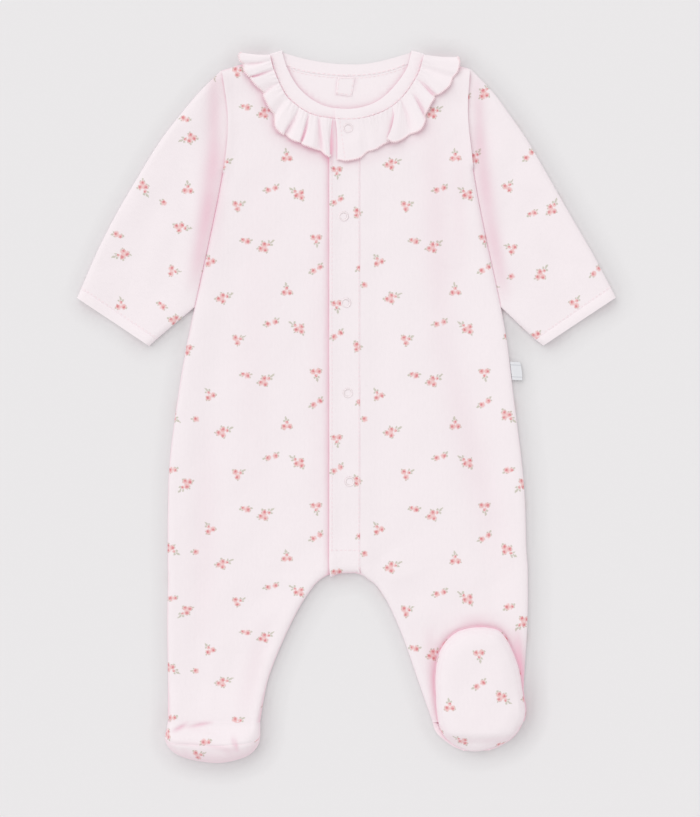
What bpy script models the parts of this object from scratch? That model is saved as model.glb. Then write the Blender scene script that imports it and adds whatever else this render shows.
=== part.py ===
"""A footed baby sleepsuit, laid flat on its back.

Every piece of cloth is a wall of even thickness behind a surface that follows
the garment's cut. The tables hold millimetres: x to the wearer's left, y
towards the neck, z up from what the suit lies on. Meshes are in metres.
"""

import math

import bpy
import numpy as np

MM = 0.001

# Cloth and layers
CLOTH = 1.2  # interlock cotton, one layer
BAND = 1.4  # doubled rib of the neckband and cuffs
FRILL = 1.0  # single layer of the ruffle
SEAM_GAP = 0.3  # between two pieces that a seam joins
LAY_HEIGHT = 4.0  # top of the front where it lies on the back
SPLIT_HEIGHT = 2.9  # height of a folded edge's middle, where front meets back
EDGE_ROLL = 5.0  # how far in from a folded edge the cloth turns over
EDGE_PUFF = 1.8  # how much higher the front stands beside a folded edge
PUFF_REACH = 28.0  # where that extra height has died away

# Centre front
PLACKET_LEFT = -12.9
PLACKET_RIGHT = 10.2
PLACKET_RISE = SEAM_GAP + CLOTH
LAP_EDGE = 7.8  # edge of the left front, under the placket
HEM_EASE = 0.3  # extra room of the placket where it turns over the crotch
RISE_REACH = 16.0  # how far the right front takes to come down to LAY_HEIGHT
CROTCH_Y = -123.4

# Snaps
SNAP_RADIUS = 3.9
SNAP_HOLE = 2.1
SNAP_HEIGHT = 1.1
SNAP_EASE = 0.3  # extra room of the top snap over the ruffle
SNAP_BEVEL = 0.84  # share of the radius, and of the hole, where the top is flat
SNAP_SIDES = 14
SNAPS = ((1.2, 208.5), (-2.2, 142.5), (-0.4, 77.6), (1.1, 10.1), (2.3, -56.3))

# Ruffle waves, from the neck seam to the free edge
ROOT_WAVE = 0.8
EDGE_WAVE = 4.4
WAVE_SWAY = 1.3
WAVE_STEPS = 6  # grid columns to each wave
RUFFLE_ROWS = (0, 0.2, 0.45, 0.72, 1)
RUFFLE_CLEAR = FRILL + SEAM_GAP + 0.25  # lowest top of the ruffle over what it lies on
RUFFLE_CLIMB = (9.0, 2.0)  # the left ruffle climbs between these distances from the placket
RUFFLE_CALM = 3.4  # it lies flat to this many radii from the top snap

# Feet
FOOT_HEIGHT = 16.0
FOOT_SIDE_ROLL = 14.0
FOOT_RISE = 0.45  # share of the way from the ankle to the toe where the foot is that high
ANKLE_Y = -236.5
ANKLE_RISE = 4.0  # how much the left leg rises to meet its foot
ANKLE_REACH = 32.0
TOE_SEAM = 0.54  # share of the way from the ankle to the toe
TOE_SEAM_SIDE = 0.93  # and at the foot's sides
TOE_GAP = 1.6 * SEAM_GAP  # along the slope, where the toe seam is steep
SOLE_CROWN = 9.5
SOLE_ROLL = 15.0
SOLE_POINTS = 32
SOLE_BASE = 8.2  # height of the folded foot's sole edge, over its leg
HEEL_BASE = 3.2  # and at the heel, past the end of the leg
HEEL_DROP_Y = (-252.0, -243.0)
PAD_BASE = 6.3  # underside of the layers inside the folded foot
PAD_DROP = 1.3  # their top, below the inside of the sole
PAD_SHOW = 0.9  # how far they show past the sole's edge
PAD_EASE = 1.0  # how much further in than the sole they start to rise
PAD_END_Y = -236.0
PAD_TAPER = 0.02  # how much smaller its underside is

# Neckband
BAND_LAP = 8.4  # how far each end passes the centre front
BAND_HEIGHT = 4.2
BAND_TURN = np.array((0.0, 1.4))  # how far it stands out where it turns from front to back

# Labels
TAG_CLOTH = 1.0
TAG_LENGTH = 7.6
TAG_ROOT = ((122.7, 33.6), (124.3, 20.0))  # on the right side seam
TAG_HEIGHT = 3.4
TAG_DROOP = 0.8
TAG_STEPS = (0, 0.35, 0.7, 1)
LABEL_TOP = CLOTH + SEAM_GAP + TAG_CLOTH
LABEL_CORNERS = ((-7.9, 234.4), (3.9, 232.9), (-6.4, 247.6), (6.4, 247.6))

# Half of the body from the ankle up: the side edge, the inner edge, and the
# number of grid rows up to the next section:
# side_x, side_y, inner_x, inner_y, rows
LEFT_LEG = (
    (-134.0, -236.5, -64.8, -236.5, 2),
    (-134.0, -204.0, -58.6, -204.0, 2),
    (-134.5, -170.0, -45.0, -170.0, 2),
    (-134.3, -146.0, -32.5, -146.0, 1),
    (-134.0, -134.0, -23.0, -132.9, 1),
    (-134.0, -127.5, -14.5, -126.8, 1),
    (-134.0, -124.8, -6.4, -123.9, 1),
)
RIGHT_LEG = (
    (132.6, -236.5, 64.5, -236.5, 2),
    (133.3, -204.0, 53.2, -204.0, 2),
    (135.5, -170.0, 41.2, -170.0, 2),
    (136.1, -146.0, 30.2, -146.0, 1),
    (136.1, -135.0, 22.6, -134.4, 1),
    (136.1, -128.5, 15.5, -127.9, 1),
)
RIGHT_HEEL = (
    (107.0, -258.2, 88.0, -258.4, 1),
    (115.0, -255.0, 79.0, -254.5, 1),
    (124.0, -249.5, 70.5, -248.0, 1),
    (130.0, -242.5, 66.2, -242.5, 1),
)
# Side edges of the trunk, and the height of the inner edge beside each
TRUNK_COLUMNS = ("left_x", "right_x", "side_y", "inner_y", "rows")
TRUNK = (
    (-134.2, 136.0, -121.8, CROTCH_Y, 2),
    (-134.2, 135.8, -118.0, -119.5, 1),
    (-134.3, 134.9, -106.0, -106.0, 2),
    (-133.9, 133.9, -70.0, -70.0, 2),
    (-132.3, 131.0, -37.0, -37.0, 2),
    (-126.4, 125.3, 8.0, 8.0, 2),
    (-119.2, 120.2, 50.0, 50.0, 2),
    (-111.0, 113.2, 87.4, 87.4, 2),
    (-103.0, 105.2, 124.0, 122.0, 2),
    (-96.0, 98.4, 158.0, 152.0, 1),
)
CHEST_Y = 172.0  # the inner edge beside the foot of the armhole
NECK_SHARES = (0.14, 0.28, 0.42, 0.56, 0.7, 0.84)  # of the neck seam, where rows of the body end
NECK_STEP = 0.04  # least share between two of those rows
FRONT_SHARE = 0.24  # of the armhole, beside the neck seam's lowest point
BACK_SHARE = 0.55
LEFT_ARMHOLE = ((-92.9, 174.4), (-90.2, 190.9), (-89.0, 207.4), (-89.4, 224.0), (-93.4, 252.2))
RIGHT_ARMHOLE = ((95.0, 178.0), (93.4, 194.0), (91.6, 210.0), (91.0, 227.0), (92.6, 253.2))

# Neck: the seam between the band and the body, and the band's free edge
FRONT_SEAM = (
    (-57.4, 263.2), (-53.6, 250.1), (-45.4, 233.4), (-33.0, 222.4), (-20.3, 217.1), (0.0, 214.9),
    (14.6, 216.4), (29.6, 222.0), (41.9, 231.5), (52.9, 247.6), (58.1, 263.2),
)
FRONT_FREE = (
    (-48.4, 266.0), (-44.2, 253.0), (-36.6, 240.0), (-25.8, 230.2), (-14.0, 224.8), (0.0, 223.1),
    (12.6, 224.7), (25.2, 230.3), (36.0, 240.3), (45.1, 253.4), (48.8, 266.0),
)
BACK_SEAM = (
    (-57.4, 263.2), (-40.1, 253.6), (-20.3, 249.6), (0.0, 248.2), (19.0, 249.2), (38.0, 253.8), (58.1, 263.2),
)
BACK_FREE = (
    (-48.4, 266.0), (-33.4, 261.6), (-17.0, 258.4), (0.0, 257.0), (16.0, 257.6), (32.0, 261.0), (48.8, 266.0),
)

# Sleeves from the cuff up: the outer edge, the free part of the inner edge, and the cuff's open end
SLEEVES = {
    "left": {
        "outer": (
            (-199.1, 88.3), (-187.9, 114.4), (-174.4, 141.4), (-157.9, 169.9),
            (-139.9, 199.1), (-122.6, 221.6), (-110.0, 236.4), (-94.0, 252.2),
        ),
        "inner": ((-142.7, 50.5), (-128.6, 62.3)),
        "cuff": ((-202.1, 81.4), (-148.1, 45.4)),
    },
    "right": {
        "outer": (
            (198.4, 88.9), (184.9, 114.4), (169.3, 141.4), (153.0, 169.9),
            (136.1, 199.1), (120.6, 221.6), (109.4, 236.4), (93.2, 253.2),
        ),
        "inner": ((141.9, 50.1), (129.0, 62.0)),
        "cuff": ((202.1, 81.8), (147.8, 45.8)),
    },
}
SLEEVE_ROWS = (0, 0.09, 0.18, 0.27, 0.37, 0.48, 0.60, 0.72, 0.83, 0.92, 1)
SLEEVE_CORNER = 3  # the row where the sleeve meets the body's side
SLEEVE_CORNER_Y = 74.6

# Ruffles from the centre front to the shoulder: the free edge, the crests of
# the waves as shares of it, and the start on the neck seam
RUFFLES = {
    "left": {
        "edge": (
            (-13.4, 187.8), (-24.5, 193.8), (-35.0, 198.2), (-46.0, 203.6), (-53.0, 210.4),
            (-55.0, 219.4), (-61.8, 233.6), (-69.4, 243.4), (-77.4, 255.2), (-79.9, 264.9),
        ),
        "crests": (0.04, 0.16, 0.29, 0.42, 0.55, 0.68, 0.81, 0.94),
        "start_x": -10.6,
    },
    "right": {
        "edge": (
            (-4.5, 184.1), (8.0, 186.8), (16.5, 190.6), (28.1, 198.0), (38.0, 200.6), (46.6, 203.0),
            (55.1, 208.6), (58.9, 217.1), (61.9, 226.1), (67.1, 233.4), (74.6, 239.6), (80.6, 246.9),
            (84.6, 261.4),
        ),
        "crests": (0.07, 0.21, 0.34, 0.5, 0.66, 0.8, 0.94),
        "start_x": -8.2,
    },
}

# Outline of the left foot's toe
LEFT_TOE = (
    (-136.5, -248.6), (-133.6, -255.4), (-126.6, -261.3), (-113.0, -265.6), (-96.0, -267.4),
    (-81.4, -264.8), (-71.6, -260.4), (-66.0, -253.4), (-64.6, -246.4),
)
# Outline of the right sole, from the toe round by the outer side
RIGHT_SOLE = (
    (103.1, -165.0), (112.9, -167.0), (118.9, -172.9), (124.1, -182.6), (129.1, -196.9), (131.9, -214.1),
    (133.8, -229.1), (129.0, -242.4), (120.4, -251.2), (106.9, -256.9), (93.7, -258.6), (80.3, -253.5),
    (71.1, -243.9), (67.9, -230.6), (66.8, -216.4), (66.6, -200.9), (68.4, -187.5), (73.4, -177.0),
    (82.1, -169.0), (92.6, -165.6),
)

# Soft folds of the upper wall: both ends, width and height
FOLD_COLUMNS = ("x0", "y0", "x1", "y1", "width", "height")
FOLDS = (
    (62.0, 150.0, 112.0, -110.0, 13.0, -1.0),
    (36.0, 60.0, 70.0, -110.0, 17.0, 0.8),
    (-96.0, 60.0, -104.0, -50.0, 12.0, -0.8),
    (-70.0, 150.0, -64.0, 20.0, 20.0, 0.6),
    (-54.0, -157.0, -74.0, -225.0, 6.0, -0.9),
    (-20.0, -132.0, -80.0, -150.0, 9.0, -0.8),
    (24.0, -134.0, 80.0, -148.0, 9.0, -0.8),
    (62.0, -165.0, 78.0, -120.0, 10.0, 0.7),
    (-101.0, 245.0, -104.0, 172.0, 8.0, -1.1),
    (102.0, 245.0, 107.0, 168.0, 8.0, -1.1),
    (-150.0, 95.0, -128.0, 160.0, 12.0, 0.9),
    (150.0, 95.0, 130.0, 160.0, 12.0, 0.9),
)

# Colours as linear red, green and blue
PINK = (0.905, 0.815, 0.835)
FRILL_PINK = (0.90, 0.76, 0.79)
SOLE_PINK = (0.86, 0.80, 0.82)
PEARL = (0.86, 0.78, 0.80)
WHITE = (0.92, 0.92, 0.92)


# Curves and heights ----------------------------------------------------------


def curve(points, at):
    """Points at knot positions `at` on a smooth curve through `points`."""
    points = np.array(points, float)
    ends = np.vstack([2 * points[0] - points[1], points, 2 * points[-1] - points[-2]])
    knot = np.clip(np.floor(at).astype(int), 0, len(points) - 2)
    t = (np.asarray(at) - knot)[:, None]
    a, b, c, d = (ends[knot + i] for i in range(4))
    return 0.5 * (2 * b + (c - a) * t + (2 * a - 5 * b + 4 * c - d) * t**2 + (3 * b - a - 3 * c + d) * t**3)


def dense(points):
    return curve(points, np.linspace(0, len(points) - 1, 24 * len(points)))


def along(points, fractions):
    """Points at fractions of the length of a polyline."""
    points = np.array(points, float)
    length = np.concatenate([[0], np.cumsum(np.linalg.norm(np.diff(points, axis=0), axis=1))])
    return np.column_stack([np.interp(np.asarray(fractions) * length[-1], length, axis) for axis in points.T])


def moved(points, distance):
    """A polyline moved to the right of its direction."""
    run = np.gradient(points, axis=0)
    run /= np.linalg.norm(run, axis=1)[:, None]
    return points + np.column_stack([run[:, 1], -run[:, 0]]) * distance


def nearest(xy, paths):
    """Distance of each point to the nearest of the paths."""
    best = np.full(xy.shape[:-1], np.inf)
    for path in paths:
        for start, end in zip(path[:-1], path[1:]):
            run = end - start
            t = np.clip(((xy - start) @ run) / (run @ run), 0, 1)
            best = np.minimum(best, np.linalg.norm(xy - start - t[..., None] * run, axis=-1))
    return best


def fade(value, start, end):
    t = np.clip((value - start) / (end - start), 0, 1)
    return t * t * (3 - 2 * t)


def turn(distance, reach):
    """0 on a folded edge, rising as a quarter circle to 1 at `reach`."""
    return np.sqrt(1 - (1 - np.minimum(distance / reach, 1)) ** 2)


def relief(xy):
    """Height that the soft folds add to the upper wall."""
    height = np.zeros(xy.shape[:-1])
    for row in FOLDS:
        fold = dict(zip(FOLD_COLUMNS, row))
        start = np.array((fold["x0"], fold["y0"]))
        run = np.array((fold["x1"], fold["y1"])) - start
        t = np.clip(((xy - start) @ run) / (run @ run), 0, 1)
        off = np.linalg.norm(xy - start - t[..., None] * run, axis=-1) / fold["width"]
        height += fold["height"] * np.exp(-(off**2)) * np.sin(math.pi * (0.1 + 0.8 * t))
    return height


def front_height(xy, distance, side="left", edge=SPLIT_HEIGHT + SEAM_GAP / 2):
    """Outer height of the upper wall, by the distance to its nearest folded edge."""
    puff = EDGE_PUFF * (1 - fade(distance, EDGE_ROLL, PUFF_REACH))
    level = LAY_HEIGHT - edge + puff + relief(xy) * fade(distance, EDGE_ROLL, 2 * EDGE_ROLL)
    if side == "right":
        level = level + PLACKET_RISE * (1 - fade(xy[..., 0], PLACKET_RIGHT, PLACKET_RIGHT + RISE_REACH))
    else:
        level = level + ANKLE_RISE * (1 - fade(xy[..., 1], ANKLE_Y, ANKLE_Y + ANKLE_REACH))
    return edge + level * turn(distance, EDGE_ROLL)


def back_height(distance, edge=SPLIT_HEIGHT - SEAM_GAP / 2):
    """Outer height of the lower wall, flat but for its folded edges."""
    return edge * (1 - turn(distance, EDGE_ROLL))


# Meshes ----------------------------------------------------------------------


def grid_faces(rows, columns, wrap=False, flip=False):
    """Quads of a grid, facing up where rows run away and columns run to the right."""
    last = columns if wrap else columns - 1
    faces = []
    for r in range(rows - 1):
        for c in range(last):
            face = (
                r * columns + c,
                r * columns + (c + 1) % columns,
                (r + 1) * columns + (c + 1) % columns,
                (r + 1) * columns + c,
            )
            faces.append(face[::-1] if flip else face)
    return faces


def normals_of(points, faces):
    normals = np.zeros_like(points)
    for face in faces:
        corner = points[list(face)]
        normals[list(face)] += np.cross(corner[2] - corner[0], corner[-1] - corner[1])
    return normals / np.linalg.norm(normals, axis=1)[:, None]


def finish(name, colour, roughness=0.9):
    made = bpy.data.materials.get(name) or bpy.data.materials.new(name)
    made.use_nodes = True
    made.diffuse_color = (*colour, 1)
    surface = made.node_tree.nodes["Principled BSDF"]
    surface.inputs["Base Color"].default_value = (*colour, 1)
    surface.inputs["Roughness"].default_value = roughness
    return made


def add_object(name, points, faces, material):
    mesh = bpy.data.meshes.new(name)
    mesh.from_pydata([tuple(point) for point in np.asarray(points) * MM], [], faces)
    mesh.shade_smooth()
    mesh.set_sharp_from_angle(angle=math.radians(50))
    mesh.materials.append(material)
    made = bpy.data.objects.new(name, mesh)
    bpy.context.scene.collection.objects.link(made)
    return made


def add_wall(name, points, faces, thickness, material, folded=()):
    """A closed wall behind a surface, level with it at the points of `folded`, on a folded edge."""
    normals = normals_of(points, faces)
    folded = list(folded)
    normals[folded, 2] = 0
    normals[folded] /= np.linalg.norm(normals[folded], axis=1)[:, None]
    count = len(points)
    solid = list(faces) + [tuple(index + count for index in reversed(face)) for face in faces]
    edges = {(a, b) for face in faces for a, b in zip(face, face[1:] + face[:1])}
    solid += [(b, a, a + count, b + count) for a, b in sorted(edges) if (b, a) not in edges]
    return add_object(name, np.vstack([points, points - normals * thickness]), solid, material)


# Body ------------------------------------------------------------------------


def cross_steps(width, middle):
    """Distances across a panel, close together where an edge turns over."""
    reach = min(EDGE_ROLL, width / 6)
    edge = [reach * (1 - math.cos(math.radians(angle))) for angle in (0, 30, 60, 90)] + [2.4 * reach]
    inner = np.linspace(edge[-1], width - edge[-1], middle + 1)[1:-1]
    return np.array(edge + list(inner) + [width - step for step in reversed(edge)])


def across(sides, inners, middle):
    """A grid of points: each row runs from its side point to its inner point."""
    rows = []
    for side, inner in zip(sides, inners):
        width = np.linalg.norm(inner - side)
        rows.append(side + (inner - side) * (cross_steps(width, middle) / width)[:, None])
    return np.array(rows)


def sections(table):
    """Side points and inner points of the rows through a table of sections."""
    at = [knot + step / row[4] for knot, row in enumerate(table[:-1]) for step in range(row[4])]
    at = np.array(at + [len(table) - 1])
    table = np.array(table, float)
    return curve(table[:, :2], at), curve(table[:, 2:4], at)


def neck_seam(table, side, start_x):
    """The neck seam from start_x to the shoulder of one side, moved out by the seam's gap."""
    sign = -1 if side == "left" else 1
    seam = moved(dense(table), SEAM_GAP)
    start = (start_x, np.interp(start_x, seam[:, 0], seam[:, 1]))
    return np.vstack([start, seam[seam[:, 0] * sign > start_x * sign + 0.1][::sign]])


def half_body(side, inner_x, seam, armhole_share):
    """Side points and inner points of half a panel, and the rows of its crotch, chest and shoulder.

    armhole_share is how far up the armhole the row lies that meets the neck
    seam at the inner edge.
    """
    leg = LEFT_LEG if side == "left" else RIGHT_LEG
    armhole = dense(LEFT_ARMHOLE if side == "left" else RIGHT_ARMHOLE)
    trunk = []
    for row in TRUNK:
        section = dict(zip(TRUNK_COLUMNS, row))
        trunk.append((section[f"{side}_x"], section["side_y"], inner_x, section["inner_y"], section["rows"]))
    crotch_side, crotch_inner = sections(leg + (trunk[0],))
    chest = (*armhole[0], inner_x, CHEST_Y, 1)
    side_points, inner_points = sections(tuple(trunk) + (chest,))
    rise = np.linspace(0, 1, 4)[1:]
    corner = np.column_stack([np.full(3, inner_x), CHEST_Y + (seam[0][1] - CHEST_Y) * rise])
    corner[-1] = seam[0]
    length = np.linalg.norm(np.diff(armhole, axis=0), axis=1).sum() * (1 - armhole_share)
    turns = [1 - EDGE_ROLL * (1 - math.cos(math.radians(angle))) / length for angle in (90, 60, 30, 0)]
    fan = np.array([share for share in NECK_SHARES if share < turns[0] - NECK_STEP] + turns)
    sides = np.vstack([
        crotch_side[:-1],
        side_points,
        along(armhole, armhole_share * rise),
        along(armhole, armhole_share + (1 - armhole_share) * fan),
    ])
    inners = np.vstack([crotch_inner[:-1], inner_points, corner, along(seam, fan)])
    marks = {
        "crotch": len(crotch_side) - 1,
        "chest": len(crotch_side) + len(side_points) - 2,
        "neck": len(sides) - len(fan) - 1,
    }
    return sides, inners, marks


def folded_paths(sides, inners, marks):
    """The folded edges of half a panel: its side, its inseam and its shoulder."""
    return [sides[: marks["chest"] + 1], inners[: marks["crotch"] + 1], np.array([sides[-1], inners[-1]])]


def folded_points(rows, columns, marks, start=0):
    """Grid indices of the points on those edges."""
    side = {r * columns for r in range(marks["chest"] + 1)}
    inner = {r * columns + columns - 1 for r in range(marks["crotch"] + 1)}
    shoulder = {(rows - 1) * columns + c for c in range(columns)}
    return {index + start for index in side | inner | shoulder}


def build_front(side):
    start_x = LAP_EDGE if side == "left" else PLACKET_RIGHT + SEAM_GAP
    sides, inners, marks = half_body(side, start_x, neck_seam(FRONT_SEAM, side, start_x), FRONT_SHARE)
    xy = across(sides, inners, 3)
    rows, columns = xy.shape[:2]
    distance = nearest(xy, folded_paths(sides, inners, marks))
    points = np.dstack([xy, front_height(xy, distance, side)]).reshape(-1, 3)
    faces = grid_faces(rows, columns, flip=side == "right")
    cloth = finish("cloth", PINK)
    add_wall(f"front_{side}", points, faces, CLOTH, cloth, folded_points(rows, columns, marks))


def build_back():
    points, faces, folded = [], [], set()
    for side in ("left", "right"):
        sides, inners, marks = half_body(side, 0.0, neck_seam(BACK_SEAM, side, 0.0), BACK_SHARE)
        paths = folded_paths(sides, inners, marks)
        if side == "right":
            heel_sides, heel_inners = sections(RIGHT_HEEL + (RIGHT_LEG[0][:4] + (1,),))
            sides = np.vstack([heel_sides[:-1], sides])
            inners = np.vstack([heel_inners[:-1], inners])
            marks = {name: row + len(heel_sides) - 1 for name, row in marks.items()}
            paths = folded_paths(sides, inners, marks) + [np.array([sides[0], inners[0]])]
        xy = across(sides, inners, 2)
        rows, columns = xy.shape[:2]
        start = sum(len(part) for part in points)
        height = back_height(nearest(xy, paths))
        points.append(np.dstack([xy, height]).reshape(-1, 3))
        faces += [
            tuple(index + start for index in face) for face in grid_faces(rows, columns, flip=side == "left")
        ]
        folded |= folded_points(rows, columns, marks, start)
        if side == "right":
            folded |= {start + c for c in range(columns)}
    points = np.vstack(points)
    _, first, merged = np.unique(np.round(points, 4), axis=0, return_index=True, return_inverse=True)
    merged = merged.reshape(-1)
    faces = [tuple(int(merged[index]) for index in face) for face in faces]
    add_wall("back", points[first], faces, CLOTH, finish("cloth", PINK), {int(merged[i]) for i in folded})


# Sleeves and cuffs ------------------------------------------------------------


def side_path(side, from_y):
    """The trunk's side edge from a height up to the armhole, moved out by the seam's gap."""
    sign = -1 if side == "left" else 1
    sides, _, marks = half_body(side, 0.0, neck_seam(BACK_SEAM, side, 0.0), BACK_SHARE)
    path = moved(sides[: marks["chest"] + 1], sign * SEAM_GAP)
    start = (np.interp(from_y, path[:, 1], path[:, 0]), from_y)
    return np.vstack([start, path[path[:, 1] > from_y + 1]])


def tube(rows_top, rows_below, distance_top, distance_below):
    """Points of a flat tube: over the top, then back under it."""
    top = np.dstack([rows_top, front_height(rows_top, distance_top, edge=SPLIT_HEIGHT)])
    below = np.dstack([rows_below, back_height(distance_below, edge=SPLIT_HEIGHT)])
    return np.concatenate([top, below[:, ::-1]], axis=1)


def build_sleeve(side):
    sign = -1 if side == "left" else 1
    shape = SLEEVES[side]
    rows = np.array(SLEEVE_ROWS)
    corner = rows[SLEEVE_CORNER]
    body = side_path(side, SLEEVE_CORNER_Y)
    free = np.vstack([shape["inner"], body[0]])
    inner = np.vstack([
        along(free, rows[:SLEEVE_CORNER] / corner),
        along(body, (rows[SLEEVE_CORNER:] - corner) / (1 - corner)),
    ])
    outer_path = dense(shape["outer"])
    outer = along(outer_path, rows)
    armhole = moved(dense(LEFT_ARMHOLE if side == "left" else RIGHT_ARMHOLE), sign * SEAM_GAP)
    armhole[-1] = outer[-1]
    armhole[0] = inner[-1]
    made = []
    for middle, trim in ((3, 0), (1, 1)):
        grid = []
        for share, start, end in zip(rows, outer, inner):
            width = np.linalg.norm(end - start)
            steps = cross_steps(width, middle) / width
            bend = along(armhole[::-1], steps) - (outer[-1] + (inner[-1] - outer[-1]) * steps[:, None])
            grid.append(start + (end - start) * steps[:, None] + bend * max(0, 2 * share - 1) ** 2)
        made.append(np.array(grid)[:, trim : len(steps) - trim])
    edges = [outer_path, np.vstack([free[:-1], body])]
    top, below = made
    points = tube(top, below, nearest(top, edges), nearest(below, edges))
    faces = grid_faces(*points.shape[:2], wrap=True, flip=side == "right")
    add_wall(f"sleeve_{side}", points.reshape(-1, 3), faces, CLOTH, finish("cloth", PINK))


def build_cuff(side):
    shape = SLEEVES[side]
    starts = np.array((shape["outer"][0], shape["inner"][0]))
    ends = np.array(shape["cuff"])
    gap = SEAM_GAP / np.linalg.norm(ends[0] - starts[0])
    made = []
    for middle, trim in ((2, 0), (1, 1)):
        xy, distance = [], []
        for share in (1.0, 0.55, gap):
            outer, inner = starts + (ends - starts) * share
            width = np.linalg.norm(inner - outer)
            steps = cross_steps(width, middle)
            xy.append(outer + (inner - outer) * (steps / width)[:, None])
            distance.append(np.minimum(steps, width - steps))
        kept = slice(trim, len(steps) - trim)
        made.append((np.array(xy)[:, kept], np.array(distance)[:, kept]))
    points = tube(made[0][0], made[1][0], made[0][1], made[1][1])
    faces = grid_faces(*points.shape[:2], wrap=True, flip=side == "right")
    add_wall(f"cuff_{side}", points.reshape(-1, 3), faces, BAND, finish("rib", FRILL_PINK))


# Neck and centre front --------------------------------------------------------


def band_part(side, seam_table, free_table, start_x, lap_x, armhole_share):
    """Stations from the centre to one shoulder: the panel's points on the seam, and the free edge's."""
    sign = -1 if side == "left" else 1
    _, inners, marks = half_body(side, start_x, neck_seam(seam_table, side, start_x), armhole_share)
    seam = moved(inners[marks["neck"] :][::sign], -SEAM_GAP)[::sign]
    whole = dense(seam_table)
    laps = np.linspace(lap_x, start_x, 4)[:-1] if lap_x != start_x else []
    seam = np.vstack([(x, np.interp(x, whole[:, 0], whole[:, 1])) for x in laps] + [seam])
    free = dense(free_table)
    start = np.interp(lap_x, free[:, 0], np.arange(len(free)))
    free = free[int(start) :] if side == "right" else free[: int(start) + 1][::-1]
    steps = np.concatenate([[0], np.cumsum(np.linalg.norm(np.diff(seam, axis=0), axis=1))])
    return seam, along(free, steps / steps[-1])


def build_neckband():
    start_x = PLACKET_RIGHT + SEAM_GAP
    seam, free = band_part("right", FRONT_SEAM, FRONT_FREE, start_x, -BAND_LAP, FRONT_SHARE)
    lap = (BAND + SEAM_GAP) * (1 - fade(seam[:, 0], BAND_LAP + 1, BAND_LAP + 1 + RISE_REACH))
    stations = [(s, f, BAND_HEIGHT + up) for s, f, up in zip(seam, free, lap)]
    over = [(push, BAND_HEIGHT * height) for push, height in ((0.8, 0.85), (1.0, 0.5), (0.8, 0.15))]
    stations += [(seam[-1] + BAND_TURN * push, free[-1] + BAND_TURN * push, z) for push, z in over]
    seam, free = band_part("right", BACK_SEAM, BACK_FREE, 0.0, 0.0, BACK_SHARE)
    stations += [(s, f, 0.0) for s, f in zip(seam[::-1], free[::-1])]
    seam, free = band_part("left", BACK_SEAM, BACK_FREE, 0.0, 0.0, BACK_SHARE)
    stations += [(s, f, 0.0) for s, f in zip(seam[1:], free[1:])]
    seam, free = band_part("left", FRONT_SEAM, FRONT_FREE, LAP_EDGE, LAP_EDGE, FRONT_SHARE)
    stations += [(seam[-1] + BAND_TURN * push, free[-1] + BAND_TURN * push, z) for push, z in over[::-1]]
    stations += [(s, f, BAND_HEIGHT) for s, f in zip(seam[::-1], free[::-1])]
    points = [(*(seam + (free - seam) * share), z) for seam, free, z in stations for share in (0, 0.5, 1)]
    faces = grid_faces(len(stations), 3, flip=True)
    add_wall("neckband", np.array(points), faces, BAND, finish("rib", FRILL_PINK))


def build_placket():
    sides, inners, marks = half_body("left", LAP_EDGE, neck_seam(FRONT_SEAM, "left", LAP_EDGE), FRONT_SHARE)
    crotch = inners[: marks["crotch"] + 1]
    seam = moved(dense(FRONT_SEAM), SEAM_GAP)
    across_x = np.linspace(PLACKET_LEFT, PLACKET_RIGHT, 6)
    low = np.interp(across_x, crotch[:, 0], crotch[:, 1])
    high = np.interp(across_x, seam[:, 0], seam[:, 1])
    length = high - low
    turns = [EDGE_ROLL * (1 - math.cos(math.radians(angle))) for angle in (0, 30, 60, 90)]
    rows = [low + step for step in turns]
    rows += [low + length * share for share in np.linspace(0.04, 1, 18)]
    xy = np.dstack([np.tile(across_x, (len(rows), 1)), np.array(rows)])
    distance = nearest(xy, folded_paths(sides, inners, marks)[1:2])
    distance[0] = 0
    under = np.dstack([xy, front_height(xy, distance)]).reshape(-1, 3)
    faces = grid_faces(*xy.shape[:2])
    normals = normals_of(under, faces)
    hem = range(len(across_x))
    normals[hem, 2] = 0
    normals[hem] /= np.linalg.norm(normals[hem], axis=1)[:, None]
    rise = np.full(len(under), PLACKET_RISE)
    rise[: len(turns) * len(across_x)] += HEM_EASE
    add_wall("placket", under + normals * rise[:, None], faces, CLOTH, finish("cloth", PINK), hem)


def snap_height(x, y):
    xy = np.array([[(x, y)]])
    return front_height(xy, np.array([[PUFF_REACH]]))[0, 0] + PLACKET_RISE + SEAM_GAP


def build_snaps():
    profile = (
        (SNAP_HOLE, 0), (SNAP_RADIUS, 0), (SNAP_RADIUS, 0.5 * SNAP_HEIGHT),
        (SNAP_BEVEL * SNAP_RADIUS, SNAP_HEIGHT), (SNAP_HOLE / SNAP_BEVEL, SNAP_HEIGHT),
    )
    angles = np.linspace(0, 2 * math.pi, SNAP_SIDES, endpoint=False)
    round_it = grid_faces(SNAP_SIDES + 1, len(profile), wrap=True)
    count = SNAP_SIDES * len(profile)
    faces = [tuple(index % count for index in reversed(face)) for face in round_it]
    for number, (x, y) in enumerate(SNAPS, 1):
        base = snap_height(x, y) + (RUFFLE_CLEAR + SNAP_EASE if number == 1 else 0)
        points = [(x + r * math.cos(a), y + r * math.sin(a), base + z) for a in angles for r, z in profile]
        add_object(f"snap_{number}", points, faces, finish("snap", PEARL, 0.35))


# Ruffles ------------------------------------------------------------------------


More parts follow.
